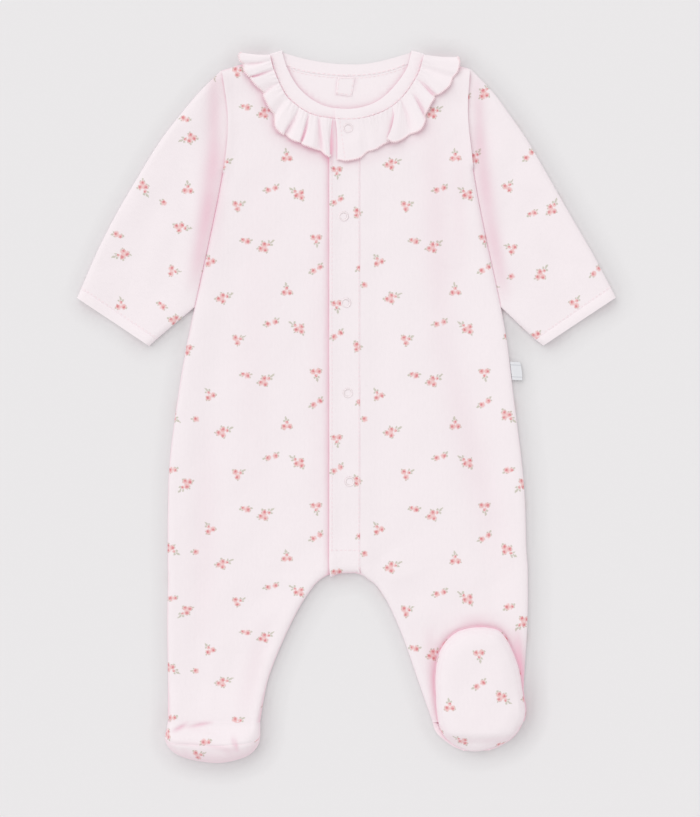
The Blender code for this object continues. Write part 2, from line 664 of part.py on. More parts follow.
def build_ruffle(side):
    shape = RUFFLES[side]
    sign = -1 if side == "left" else 1
    crests = shape["crests"]
    count = len(crests)
    wave = np.linspace(-0.5, count - 0.5, count * WAVE_STEPS + 1)
    share = np.interp(wave, [-0.5, *range(count), count - 0.5], [0, *crests, 1])
    root = along(neck_seam(FRONT_SEAM, side, shape["start_x"]), share)
    edge = along(dense(shape["edge"]), share)
    run = np.gradient((root + edge) / 2, axis=0)
    run /= np.linalg.norm(run, axis=1)[:, None]
    out = np.array(RUFFLE_ROWS)[:, None, None]
    xy = root + (edge - root) * out + run * (WAVE_SWAY * out * np.sin(2 * math.pi * wave)[:, None])
    sides, inners, marks = half_body(side, 0.0, neck_seam(BACK_SEAM, side, 0.0), BACK_SHARE)
    distance = np.maximum(nearest(xy, folded_paths(sides, inners, marks)), EDGE_ROLL)
    support = front_height(xy, distance, side)
    if side == "left":
        start, end = RUFFLE_CLIMB
        support = support + PLACKET_RISE * fade(xy[..., 0], PLACKET_LEFT - start, PLACKET_LEFT - end)
    from_snap = np.linalg.norm(xy - np.array(SNAPS[0]), axis=-1)
    calm = fade(from_snap, SNAP_RADIUS, RUFFLE_CALM * SNAP_RADIUS)
    size = ROOT_WAVE + (EDGE_WAVE - ROOT_WAVE) * out[..., 0] ** 0.8
    lift = calm * size * (0.5 + 0.5 * np.cos(2 * math.pi * wave)) ** 0.8
    points = np.dstack([xy, support + RUFFLE_CLEAR + lift]).reshape(-1, 3)
    faces = grid_faces(len(RUFFLE_ROWS), len(wave), flip=sign > 0)
    add_wall(f"ruffle_{side}", points, faces, FRILL, finish("frill", FRILL_PINK))


# Feet ------------------------------------------------------------------------------


def build_left_foot():
    """The foot hangs over the toe: the upper on top, the sole round the toe and back below."""
    share = np.array((0, 0.04, 0.1, 0.18, 0.28, 0.39, 0.5, 0.61, 0.72, 0.82, 0.9, 0.96, 1))
    toe_path = dense(LEFT_TOE)
    toe = along(toe_path, share)
    ankle_x = np.interp(share, (0, 1), (LEFT_LEG[0][0], LEFT_LEG[0][2]))
    ankle = np.column_stack([ankle_x, np.full(len(share), ANKLE_Y - SEAM_GAP)])
    edges = [toe_path, np.array([ankle[0], toe[0]]), np.array([ankle[-1], toe[-1]])]
    seam = TOE_SEAM + (TOE_SEAM_SIDE - TOE_SEAM) * (1 - np.sin(math.pi * share)) ** 2
    length = np.linalg.norm(toe - ankle, axis=1)

    edge = SPLIT_HEIGHT + SEAM_GAP / 2

    def top(reach):
        """Points at shares of the way from the ankle to the toe, on the upper wall."""
        xy = ankle + (toe - ankle) * reach[..., None]
        distance = nearest(xy, edges)
        rise = fade(reach, 0, FOOT_RISE)
        full = edge + (FOOT_HEIGHT - edge) * turn(distance, FOOT_SIDE_ROLL)
        return np.dstack([xy, (1 - rise) * front_height(xy, distance, edge=edge) + rise * full])

    columns = len(share)
    upper = top(seam * np.linspace(0, 1, 6)[:, None])[::-1]
    level = {r * columns + c for r in range(len(upper)) for c in (0, columns - 1)}
    cloth = finish("cloth", PINK)
    add_wall("foot_upper_left", upper.reshape(-1, 3), grid_faces(*upper.shape[:2]), CLOTH, cloth, level)

    gap = TOE_GAP / length
    face = top(seam + gap + (1 - seam - gap) * np.array((0, 0.3, 0.6, 0.85, 0.96))[:, None])
    back = 1 - np.array([0, 0.7, 2.5, 5.0])[:, None] / length
    back = np.vstack([back, back[-1] * np.array((0.66, 0.33, 0.0))[:, None]])
    xy = ankle + (toe - ankle) * back[..., None]
    height = back_height(nearest(xy, edges))
    height[0] = SPLIT_HEIGHT
    points = np.concatenate([face, np.dstack([xy, height])])[::-1]
    level = {r * columns + c for r in range(len(points)) for c in (0, columns - 1)}
    faces = grid_faces(*points.shape[:2])
    add_wall("sole_left", points.reshape(-1, 3), faces, CLOTH, finish("sole", SOLE_PINK), level)


def disc(outline, shares):
    """Rings from an outline to its middle, and the faces between them."""
    centre = outline.mean(axis=0)
    rings = [centre + (outline - centre) * (1 - share) for share in shares]
    xy = np.vstack(rings + [centre[None]])
    count = len(outline)
    faces = grid_faces(len(shares), count, wrap=True)
    last = (len(shares) - 1) * count
    faces += [(last + i, last + (i + 1) % count, len(xy) - 1) for i in range(count)]
    return xy, faces


def sole_base(y):
    return HEEL_BASE + (SOLE_BASE - HEEL_BASE) * fade(y, *HEEL_DROP_Y)


def build_right_foot():
    """The foot is folded up over its leg: the sole on top, its hidden layers as one pad below."""
    closed = dense(RIGHT_SOLE + RIGHT_SOLE[:1])
    outline = along(closed, np.linspace(0, 1, SOLE_POINTS + 1))[:-1][::-1]
    xy, faces = disc(outline, (0, 0.015, 0.06, 0.14, 0.27, 0.55))
    distance = nearest(xy, [closed])
    distance[: len(outline)] = 0
    height = sole_base(xy[:, 1]) + SOLE_CROWN * turn(distance, SOLE_ROLL)
    sole = finish("sole", SOLE_PINK)
    add_wall("sole_right", np.column_stack([xy, height]), faces, CLOTH, sole, range(len(outline)))

    away = outline - outline.mean(axis=0)
    rim = outline + away / np.linalg.norm(away, axis=1)[:, None] * PAD_SHOW
    rim[:, 1] = np.maximum(rim[:, 1], PAD_END_Y)
    xy, faces = disc(rim, (0, 0.05, 0.14, 0.27, 0.55))
    inside = np.clip(nearest(xy, [closed]) - CLOTH - PAD_EASE, 0, None)
    inside[: len(rim)] = 0
    dome = (SOLE_CROWN - CLOTH) * turn(inside, SOLE_ROLL - CLOTH)
    top = np.column_stack([xy, sole_base(xy[:, 1]) - PAD_DROP + dome])
    count = len(xy)
    under = np.column_stack([xy, np.full(count, PAD_BASE)])
    under[: len(rim), :2] -= (rim - rim.mean(axis=0)) * PAD_TAPER
    faces += [tuple(index + count for index in reversed(face)) for face in faces]
    ring = len(rim)
    faces += [((i + 1) % ring, i, i + count, (i + 1) % ring + count) for i in range(ring)]
    add_object("foot_upper_right", np.vstack([top, under]), faces, finish("cloth", PINK))


# Labels ------------------------------------------------------------------------------


def build_labels():
    points = []
    for x, y in reversed(TAG_ROOT):
        points += [(x + TAG_LENGTH * step, y, TAG_HEIGHT - TAG_DROOP * step**2) for step in TAG_STEPS]
    tag_faces = grid_faces(len(TAG_ROOT), len(TAG_STEPS))
    add_wall("side_tag", np.array(points), tag_faces, TAG_CLOTH, finish("tag", WHITE))
    points = [(*corner, LABEL_TOP) for corner in LABEL_CORNERS]
    add_wall("neck_label", np.array(points), grid_faces(2, 2), TAG_CLOTH, finish("cloth", PINK))


def main():
    for old in list(bpy.data.objects):
        bpy.data.objects.remove(old, do_unlink=True)
    build_back()
    for side in ("left", "right"):
        build_front(side)
        build_sleeve(side)
        build_cuff(side)
        build_ruffle(side)
    build_placket()
    build_neckband()
    build_left_foot()
    build_right_foot()
    build_snaps()
    build_labels()


main()
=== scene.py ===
# %% [markdown]
# # A footed baby sleepsuit, laid flat
#
# A suit like this is cut from thin printed cotton: two fronts, a back, two sleeves
# and two feet, with a plain band, a gathered frill and a row of ring snaps. The
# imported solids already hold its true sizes. This notebook gives each of them a
# finer shell of the same form, then the folds, the sewing, the print and the light.

import math

import bpy
import numpy as np
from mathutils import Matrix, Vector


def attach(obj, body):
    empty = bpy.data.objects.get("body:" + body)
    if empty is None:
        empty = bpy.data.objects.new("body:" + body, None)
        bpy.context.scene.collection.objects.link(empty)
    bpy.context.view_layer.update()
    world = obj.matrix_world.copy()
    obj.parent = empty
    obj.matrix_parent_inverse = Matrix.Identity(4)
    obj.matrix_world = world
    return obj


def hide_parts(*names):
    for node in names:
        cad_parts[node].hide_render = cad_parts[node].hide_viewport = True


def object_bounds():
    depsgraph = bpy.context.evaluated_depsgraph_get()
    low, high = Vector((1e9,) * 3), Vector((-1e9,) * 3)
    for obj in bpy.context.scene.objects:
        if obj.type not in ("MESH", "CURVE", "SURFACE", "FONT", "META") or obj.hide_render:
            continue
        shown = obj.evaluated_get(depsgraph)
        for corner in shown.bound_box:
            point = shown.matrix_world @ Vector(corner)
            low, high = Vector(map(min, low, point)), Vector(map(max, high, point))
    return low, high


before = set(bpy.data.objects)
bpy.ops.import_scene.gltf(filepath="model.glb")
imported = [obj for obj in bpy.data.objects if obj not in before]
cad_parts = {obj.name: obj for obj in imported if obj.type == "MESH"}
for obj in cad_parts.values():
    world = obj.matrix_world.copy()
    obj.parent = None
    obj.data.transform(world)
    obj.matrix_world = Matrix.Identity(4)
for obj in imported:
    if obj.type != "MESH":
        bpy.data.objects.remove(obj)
SOLID_BOX = [list(corner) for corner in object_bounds()]
MM = 0.001
print(f"{len(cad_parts)} solids, {(SOLID_BOX[1][1] - SOLID_BOX[0][1]) / MM:.0f} mm long")

# %% [markdown]
# ## Lines through a few points
#
# A pattern maker marks a few points and draws a smooth line through them with a
# French curve. A Catmull-Rom curve does the same: it passes through every point.
# A Bezier curve object could do it too, but here the points feed mesh grids, so
# small numpy functions are simpler. All tables are in millimetres.


# %% Smooth lines
SIGN = {"left": -1, "right": 1}  # the viewer's left and right
SPAN_POINTS = 24


def curve(points, at):
    """Points at knot positions `at` on a smooth curve through `points`."""
    points = np.array(points, float)
    ends = np.vstack([2 * points[0] - points[1], points, 2 * points[-1] - points[-2]])
    knot = np.clip(np.floor(at).astype(int), 0, len(points) - 2)
    t = (np.asarray(at) - knot)[:, None]
    a, b, c, d = (ends[knot + i] for i in range(4))
    return 0.5 * (2 * b + (c - a) * t + (2 * a - 5 * b + 4 * c - d) * t**2 + (3 * b - a - 3 * c + d) * t**3)


def dense(points):
    return curve(points, np.linspace(0, len(points) - 1, SPAN_POINTS * len(points)))


def steps_along(points):
    """Length of a polyline from its start to each point."""
    return np.concatenate([[0], np.cumsum(np.linalg.norm(np.diff(points, axis=0), axis=1))])


def along(points, fractions):
    """Points at fractions of the length of a polyline."""
    points = np.array(points, float)
    length = steps_along(points)
    return np.column_stack([np.interp(np.asarray(fractions) * length[-1], length, axis) for axis in points.T])


def moved(points, distance):
    """A polyline moved to the right of its direction."""
    run = np.gradient(points, axis=0)
    run /= np.linalg.norm(run, axis=1)[:, None]
    return points + np.column_stack([run[:, 1], -run[:, 0]]) * distance


def beside(xy, start, end):
    """How far along a straight line each point lies, from 0 to 1, and how far off it."""
    start, run = np.array(start), np.array(end) - start
    t = np.clip(((xy - start) @ run) / (run @ run), 0, 1)
    return t, np.linalg.norm(xy - start - t[..., None] * run, axis=-1)


def nearest(xy, paths):
    """Distance of each point to the nearest of the paths."""
    lines = [line for path in paths for line in zip(path[:-1], path[1:])]
    best = np.full(xy.shape[:-1], np.inf)
    for start, end in lines:
        best = np.minimum(best, beside(xy, start, end)[1])
    return best


def creased(xy, table):
    """The sum of a table of soft ridges: x0, y0, x1, y1, width and height of each."""
    height = np.zeros(xy.shape[:-1])
    for x0, y0, x1, y1, width, rise in table:
        t, off = beside(xy, (x0, y0), (x1, y1))
        height += rise * np.exp(-((off / width) ** 2)) * np.sin(math.pi * (0.1 + 0.8 * t))
    return height


def fade(value, start, end):
    t = np.clip((value - start) / (end - start), 0, 1)
    return t * t * (3 - 2 * t)


def turn(distance, reach):
    """0 on a folded edge, rising as a quarter circle to 1 at `reach`."""
    return np.sqrt(1 - (1 - np.clip(distance / reach, 0, 1)) ** 2)


# %% [markdown]
# ## The cut of the body
#
# The suit lies on its back with the fronts on top, so the front and the back share
# one outline. Each half is a stack of rows that run from the side seam to the
# centre or the inseam. A short table of sections gives both ends of the main rows,
# and the rows between them come from the smooth line above.

# %% Body sections
PLACKET_LEFT, PLACKET_RIGHT = -12.9, 10.2
LAP_EDGE = 7.8  # edge of the left front, under the placket
CROTCH_Y = -123.4
CHEST_Y = 172.0
SEAM_GAP = 0.06  # sewn cloth all but touches at a seam
EDGE_ROLL = 5.0  # how far in from a folded edge the cloth turns over
# side x, side y, inner x, inner y, rows up to the next section
LEFT_LEG = (
    (-134, -236.5, -64.8, -236.5, 2), (-134, -204, -58.6, -204, 2), (-134.5, -170, -45, -170, 2),
    (-134.3, -146, -32.5, -146, 1), (-134, -134, -23, -132.9, 1), (-134, -127.5, -14.5, -126.8, 1),
    (-134, -124.8, -6.4, -123.9, 1),
)
RIGHT_LEG = (
    (132.6, -236.5, 64.5, -236.5, 2), (133.3, -204, 53.2, -204, 2), (135.5, -170, 41.2, -170, 2),
    (136.1, -146, 30.2, -146, 1), (136.1, -135, 22.6, -134.4, 1), (136.1, -128.5, 15.5, -127.9, 1),
)
RIGHT_HEEL = (
    (107, -258.2, 88, -258.4, 1), (115, -255, 79, -254.5, 1), (124, -249.5, 70.5, -248, 1),
    (130, -242.5, 66.2, -242.5, 1),
)
# left x, right x, side y, inner y, rows up to the next section
TRUNK = (
    (-134.2, 136, -121.8, CROTCH_Y, 2),
    (-134.2, 135.8, -118, -119.5, 1), (-134.3, 134.9, -106, -106, 2), (-133.9, 133.9, -70, -70, 2),
    (-132.3, 131, -37, -37, 2), (-126.4, 125.3, 8, 8, 2), (-119.2, 120.2, 50, 50, 2),
    (-111, 113.2, 87.4, 87.4, 2), (-103, 105.2, 124, 122, 2), (-96, 98.4, 158, 152, 1),
)
ARMHOLES = {
    "left": ((-92.9, 174.4), (-90.2, 190.9), (-89, 207.4), (-89.4, 224), (-93.4, 252.2)),
    "right": ((95, 178), (93.4, 194), (91.6, 210), (91, 227), (92.6, 253.2)),
}
NECK_SHARES = (0.14, 0.28, 0.42, 0.56, 0.7, 0.84)
ARMHOLE_SHARE = {"front": 0.24, "back": 0.55}  # how far up the armhole the rows of the neck seam start
NECK = {
    "front": (
        (-57.4, 263.2), (-53.6, 250.1), (-45.4, 233.4), (-33, 222.4), (-20.3, 217.1), (0, 214.9),
        (14.6, 216.4), (29.6, 222), (41.9, 231.5), (52.9, 247.6), (58.1, 263.2),
    ),
    "back": (
        (-57.4, 263.2), (-40.1, 253.6), (-20.3, 249.6), (0, 248.2), (19, 249.2), (38, 253.8), (58.1, 263.2),
    ),
}


def sections(table):
    """Side points and inner points of the rows through a table of sections."""
    at = [knot + step / row[4] for knot, row in enumerate(table[:-1]) for step in range(row[4])]
    at = np.array(at + [len(table) - 1])
    table = np.array(table, float)
    return curve(table[:, :2], at), curve(table[:, 2:4], at)


def neck_seam(panel, side, start_x):
    """The neck seam from start_x to the shoulder of one side, moved out by the seam's gap."""
    seam = moved(dense(NECK[panel]), SEAM_GAP)
    start = (start_x, np.interp(start_x, seam[:, 0], seam[:, 1]))
    return np.vstack([start, seam[(seam[:, 0] - start_x) * SIGN[side] > 0.1][:: SIGN[side]]])


def half_body(panel, side, inner_x):
    """Side points and inner points of half a panel, and the rows of its crotch, chest and neck."""
    leg = LEFT_LEG if side == "left" else RIGHT_LEG
    armhole, seam, share = dense(ARMHOLES[side]), neck_seam(panel, side, inner_x), ARMHOLE_SHARE[panel]
    trunk = []
    for left_x, right_x, side_y, inner_y, rows in TRUNK:
        trunk.append((left_x if side == "left" else right_x, side_y, inner_x, inner_y, rows))
    crotch_side, crotch_inner = sections(leg + (trunk[0],))
    side_points, inner_points = sections((*trunk, (*armhole[0], inner_x, CHEST_Y, 1)))
    rise = np.linspace(0, 1, 4)[1:]
    corner = np.column_stack([np.full(3, inner_x), CHEST_Y + (seam[0][1] - CHEST_Y) * rise])
    corner[-1] = seam[0]
    length = steps_along(armhole)[-1] * (1 - share)
    turns = [1 - EDGE_ROLL * (1 - math.cos(math.radians(angle))) / length for angle in (90, 60, 30, 0)]
    fan = np.array([place for place in NECK_SHARES if place < turns[0] - 0.04] + turns)
    armhole_rows = along(armhole, share * rise), along(armhole, share + (1 - share) * fan)
    sides = np.vstack([crotch_side[:-1], side_points, *armhole_rows])
    inners = np.vstack([crotch_inner[:-1], inner_points, corner, along(seam, fan)])
    crotch = len(crotch_side) - 1
    marks = {"crotch": crotch, "chest": crotch + len(side_points) - 1, "neck": len(sides) - len(fan) - 1}
    return sides, inners, marks


sides = half_body("back", "left", 0.0)[0]
print(f"left half: {len(sides)} rows of sections, {np.ptp(sides[:, 1]):.0f} mm long")

# %% [markdown]
# ## Finer rows
#
# The solids have a row every few centimetres, which is enough for their size. The
# shells that show get one every two millimetres, so that a fold can be soft. The
# line may turn sharply only at a break, such as the crotch, where the curve starts
# afresh. Subdividing the solids instead would round those corners off.

# %% Refine the rows
ROW_STEP = 2.3
COLUMNS = 62


def fine_rows(sides, inners, breaks):
    """Closely spaced rows through rows of sections."""
    made = []
    for start, end in zip(breaks[:-1], breaks[1:]):
        both = np.hstack([sides, inners])[start : end + 1]
        span = np.maximum(*(np.linalg.norm(np.diff(both[:, k : k + 2], axis=0), axis=1) for k in (0, 2)))
        counts = np.ceil(span / ROW_STEP).astype(int)
        at = np.concatenate([knot + np.arange(count) / count for knot, count in enumerate(counts)])
        made.append(curve(both, at))
    made = np.vstack([*made, np.hstack([sides, inners])[-1:]])
    return made[:, :2], made[:, 2:]


def cross_steps(width, columns=COLUMNS):
    """Distances across a panel, close together where an edge turns over."""
    reach = min(EDGE_ROLL, width / 6)
    edge = reach * (1 - np.cos(np.radians(np.arange(0, 90, 11.25))))
    inner = np.linspace(reach, width - reach, columns - 2 * len(edge))
    return np.concatenate([edge, inner, width - edge[::-1]])


def across(sides, inners, columns=COLUMNS):
    """A grid of points: each row runs from its side point to its inner point."""
    rows = []
    for side, inner in zip(sides, inners):
        width = np.linalg.norm(inner - side)
        rows.append(side + (inner - side) * (cross_steps(width, columns) / width)[:, None])
    return np.array(rows)


def half_grid(panel, side, inner_x=0.0, columns=COLUMNS, heel=()):
    """Fine rows of half a panel: its grid in the plane, its folded edges and the grid's points on them."""
    sides, inners, marks = half_body(panel, side, inner_x)
    if heel:
        heel_sides, heel_inners = sections((*heel, (*RIGHT_LEG[0][:4], 1)))
        sides, inners = np.vstack([heel_sides[:-1], sides]), np.vstack([heel_inners[:-1], inners])
    crotch, chest, neck = (marks[name] + len(heel) for name in ("crotch", "chest", "neck"))
    breaks = sorted({0, len(heel), crotch, crotch + 1, chest, neck, len(sides) - 1})
    fine_sides, fine_inners = fine_rows(sides, inners, breaks)
    xy = across(fine_sides, fine_inners, columns)
    chest = int(np.argmin(np.linalg.norm(fine_sides - sides[chest], axis=1)))
    crotch = int(np.argmin(np.linalg.norm(fine_inners - inners[crotch], axis=1)))
    places = np.arange(xy[..., 0].size).reshape(xy.shape[:2])
    folds = [places[: chest + 1, 0], places[: crotch + 1, -1], places[-1]] + ([places[0]] if heel else [])
    paths = [fine_sides[: chest + 1], fine_inners[: crotch + 1], xy[-1, [0, -1]]]
    paths += [xy[0, [0, -1]]] if heel else []
    return xy, paths, set(np.concatenate(folds).tolist())


print("a body row has", COLUMNS, "points")

# %% [markdown]
# ## How high the cloth lies
#
# Laid flat, the front is one layer of cloth over another. Beside a side seam the
# cloth stands a little higher, because it has to turn over there, and then it comes
# down. Long soft folds run down from the shoulders and across the legs. They could
# come from a cloth simulation, but on a flat suit each fold is a known line, so a
# table of troughs and ridges puts them where they belong, uneven as they are.

# %% Heights and folds
CLOTH = 1.2
LAY_HEIGHT = 4.0  # top of the front where it lies on the back
SPLIT_HEIGHT = 2.9  # where front meets back at a folded edge
EDGE_PUFF, PUFF_REACH = 1.8, 28.0
PLACKET_RISE, RISE_REACH = SEAM_GAP + CLOTH, 16.0
HEM_EASE = 0.3  # how much further out the placket turns over the crotch
ANKLE_Y, ANKLE_RISE, ANKLE_REACH = -236.5, 4.0, 32.0  # the left leg rises to meet its foot
# x0, y0, x1, y1, width, height
FOLDS = (
    # the main soft folds, as in the solids
    (62, 150, 112, -110, 13, -1), (36, 60, 70, -110, 17, 0.8), (-96, 60, -104, -50, 12, -0.8),
    (-70, 150, -64, 20, 20, 0.6), (-54, -157, -74, -225, 6, -0.9), (-20, -132, -80, -150, 9, -0.8),
    (24, -134, 80, -148, 9, -0.8), (62, -165, 78, -120, 10, 0.7), (-101, 245, -104, 172, 8, -1.1),
    (102, 245, 107, 168, 8, -1.1), (-150, 95, -128, 160, 12, 0.9), (150, 95, 130, 160, 12, 0.9),
    # smaller creases, which only the shells have: the wearer's left side, from the chest down to the thigh
    (84, 30, 118, -100, 6, -0.7), (96, 10, 124, -95, 5, 0.5), (66, -40, 104, -128, 6, 0.5),
    (50, 170, 66, 40, 14, -0.5), (88, 200, 92, 120, 7, 0.5),
    # the wearer's right side: long shallow folds
    (-30, 170, -42, -60, 12, -0.5), (-58, 60, -56, -120, 9, -0.55), (-84, 20, -88, -160, 10, 0.45),
    (-118, 0, -120, -120, 7, 0.4), (-106, -60, -112, -200, 7, -0.45),
    # beside the inseams and over the ankles
    (-66, -150, -86, -222, 5, 0.45), (-40, -140, -70, -190, 5, -0.5), (-100, -196, -104, -232, 6, 0.5),
    (44, -150, 60, -200, 6, -0.5), (96, -110, 118, -150, 7, -0.5),
    # creases that run from the crotch
    (-14, -126, -40, -100, 5, -0.5), (16, -126, 44, -96, 5, -0.5), (-26, -132, -62, -130, 4, 0.4),
    (28, -130, 60, -122, 4, 0.4),
    # the yoke, under the frill
    (-40, 205, -48, 150, 6, -0.4), (46, 205, 56, 150, 6, -0.4),
    # sleeves: across the elbow and up from the cuffs
    (-182, 104, -150, 112, 5, -0.5), (-168, 74, -146, 132, 6, -0.5), (-128, 205, -112, 110, 7, -0.6),
    (-152, 158, -128, 138, 6, -0.45), (182, 104, 152, 110, 5, -0.5), (168, 74, 146, 132, 6, -0.5),
    (128, 205, 114, 110, 7, -0.6), (150, 160, 128, 136, 6, -0.45),
)
LIMPNESS = 0.16  # how far the cloth lies uneven between its folds
# waves of that unevenness: direction in radians, length, start
WAVES = ((0.2, 46.0, 0.0), (1.4, 61.0, 1.1), (2.3, 37.0, 2.7), (0.9, 29.0, 4.0))
RIDGE, RIDGE_WIDTH = 1.5, 5.0  # the body's edge stands up beside a sleeve
DIP, DIP_WIDTH = 1.5, 11.0  # the sleeve sinks beside the body
LOWEST_TOP = 2.7  # two layers of cloth, pressed together


def relief(xy):
    """Height that the folds and the small unevenness of limp cloth add."""
    height = creased(xy, FOLDS)
    for turn_by, length, shift in WAVES:
        phase = (xy[..., 0] * math.cos(turn_by) + xy[..., 1] * math.sin(turn_by)) * 2 * math.pi / length
        height += LIMPNESS * np.sin(phase + shift + 1.3 * np.sin(xy[..., 1] / 53.0 + shift))
    return height


def front_height(xy, distance, side="left", edge=SPLIT_HEIGHT + SEAM_GAP / 2, extra=0.0):
    """Outer height of the upper wall, by the distance to its nearest folded edge."""
    puff = EDGE_PUFF * (1 - fade(distance, EDGE_ROLL, PUFF_REACH))
    level = LAY_HEIGHT - edge + puff + relief(xy) * fade(distance, EDGE_ROLL / 2, 2 * EDGE_ROLL) + extra
    level = np.maximum(level, LOWEST_TOP - edge)
    if side == "right":
        level = level + PLACKET_RISE * (1 - fade(xy[..., 0], PLACKET_RIGHT, PLACKET_RIGHT + RISE_REACH))
    else:
        level = level + ANKLE_RISE * (1 - fade(xy[..., 1], ANKLE_Y, ANKLE_Y + ANKLE_REACH))
    return edge + level * turn(distance, EDGE_ROLL)


def back_height(distance, edge=SPLIT_HEIGHT - SEAM_GAP / 2):
    """Outer height of the lower wall, flat but for its folded edges."""
    return edge * (1 - turn(distance, EDGE_ROLL))


print(len(FOLDS), "folds and creases")

# %% [markdown]
# ## From a surface to a piece of cloth
#
# Every piece is a grid of points on its outer surface. A second layer behind it,
# one cloth's thickness away, and a rim between the two make it a closed wall, as
# the Solidify modifier would. Doing it here keeps each point's place on the flat
# cloth as a UV map, in metres, so the knit and the print follow the cloth round
# its folded edges. On a folded edge the wall lies level with its neighbour.

# %% Shells
PIECES = {}
INSIDE = {"cloth": "cloth_inside", "sole": "cloth_inside"}  # the print is on one side only
SHARP_FROM = math.radians(50)


def finish(name):
    return bpy.data.materials.get(name) or bpy.data.materials.new(name)


def link(name, data):
    """A new object in the scene."""
    made = bpy.data.objects.new(name, data)
    bpy.context.scene.collection.objects.link(made)
    return made


def wear(solid, slot, points, quads, places, outer, cloth):
    """The piece that stands for a solid: its mesh, its cloth map and its finishes."""
    name = f"{solid}_cloth"
    mesh = bpy.data.meshes.new(name)
    mesh.from_pydata((points * MM).tolist(), [], quads.tolist())
    layer = mesh.uv_layers.new(name="cloth")
    layer.data.foreach_set("uv", (cloth.reshape(-1, 2) * MM)[places.ravel()].astype(np.float32).ravel())
    mesh.materials.append(finish(slot))
    mesh.materials.append(finish(INSIDE.get(slot, slot)))
    mesh.polygons.foreach_set("material_index", (np.arange(len(quads)) >= outer).astype(np.int32))
    mesh.shade_smooth()
    mesh.set_sharp_from_angle(angle=SHARP_FROM)
    piece = link(name, mesh)
    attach(piece, "root")
    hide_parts(solid)
    PIECES[solid] = piece
    print(name, len(quads), "faces")
    return piece


def grid_quads(rows, columns, wrap=False, flip=False):
    """The corners of each quad of a grid. On a tube its last column joins the first."""
    cells = np.meshgrid(np.arange(rows - 1), np.arange(columns if wrap else columns - 1), indexing="ij")
    low, left = (part.ravel() for part in cells)
    right = (left + 1) % columns
    low, high = low * columns, (low + 1) * columns
    quads = np.column_stack([low + left, low + right, high + right, high + left])
    return quads[:, ::-1] if flip else quads


def facing(points, quads):
    """For each quad, a vector across it that is twice as long as its area."""
    corner = points[quads]
    return np.cross(corner[:, 2] - corner[:, 0], corner[:, 3] - corner[:, 1])


def normals_of(points, quads):
    normals, faces = np.zeros_like(points), facing(points, quads)
    for column in range(4):
        np.add.at(normals, quads[:, column], faces)
    return normals / np.linalg.norm(normals, axis=1)[:, None]


def wall(points, quads, places, thickness, level=()):
    """The outer surface, the inner one behind it and the rim between them."""
    normals = normals_of(points, quads)
    level = np.array(sorted(level), int)
    normals[level, 2] = 0
    normals[level] /= np.linalg.norm(normals[level], axis=1)[:, None]
    count = len(points)
    starts, ends = quads.ravel(), np.roll(quads, -1, axis=1).ravel()
    place_starts, place_ends = places.ravel(), np.roll(places, -1, axis=1).ravel()
    free = ~np.isin(starts * count + ends, ends * count + starts)
    rim = np.column_stack([ends, starts, starts + count, ends + count])[free]
    rim_places = np.column_stack([place_ends, place_starts, place_starts, place_ends])[free]
    inner = points - normals * thickness
    return (
        np.vstack([points, inner]),
        np.vstack([quads, quads[:, ::-1] + count, rim]),
        np.vstack([places, places[:, ::-1], rim_places]),
        len(quads),
    )


def grid_wall(points, cloth, thickness, wrap=False, flip=False, level=()):
    """A wall behind a grid of points. On a tube, `cloth` has one column more than the grid."""
    quads = grid_quads(*points.shape[:2], wrap, flip)
    places = grid_quads(*cloth.shape[:2], flip=flip)
    return (*wall(points.reshape(-1, 3), quads, places, thickness, level), cloth)


def flat_cloth(points, middle, origin=(0.0, 0.0), axis=(0.0, 1.0), wrap=False):
    """Each point's place on the flat cloth: across by its length along the row, and along the axis."""
    axis = np.array(axis) / np.hypot(*axis)
    side = np.array((axis[1], -axis[0]))
    closed = np.concatenate([points, points[:, :1]], axis=1) if wrap else points
    aside = np.diff(closed[..., :2] @ side, axis=1)
    run = np.cumsum(np.hypot(aside, np.diff(closed[..., 2], axis=1)), axis=1)
    run = np.pad(run, ((0, 0), (1, 0)))
    start, end, centre = (points[:, column, :2] @ side for column in (0, middle if wrap else -1, middle))
    place = centre[:, None] + np.sign(end - start)[:, None] * (run - run[:, middle, None])
    return np.dstack([place, closed[..., :2] @ axis]) - (np.dot(origin, side), np.dot(origin, axis))


def area_of(points, quads):
    """Area of a surface, in square metres."""
    return float(np.linalg.norm(facing(points, quads), axis=1).sum() / 2) * MM * MM


def sew(solid, slot, points, cloth, thickness, held="laid", flat=None, **how):
    """A piece of cloth behind a grid of points. Its flat size is worked out but not used."""
    flat = np.ptp(cloth.reshape(-1, 2), axis=0) if flat is None else flat
    wear(solid, slot, *grid_wall(points, cloth, thickness, **how))


print("shells are", CLOTH, "mm thick")

# %% [markdown]
# ## The two fronts
#
# Each front is one piece with its leg. Its grid ends at the placket, the neck seam
# and the armhole, which are cut edges, and at the side, the inseam and the
# shoulder, which are folded round to the back. Rolling only those edges keeps the
# seams flat, as a pressed seam is.

# %% Fronts
FRONT_PRINT = (-93.4, 81.4)  # where a repeat of the print starts on the fronts
LEG_PRINT, LEG_PRINT_FROM = {"left": -17.0, "right": 6.5}, (85.0, 260.0)  # how far it slides down the legs


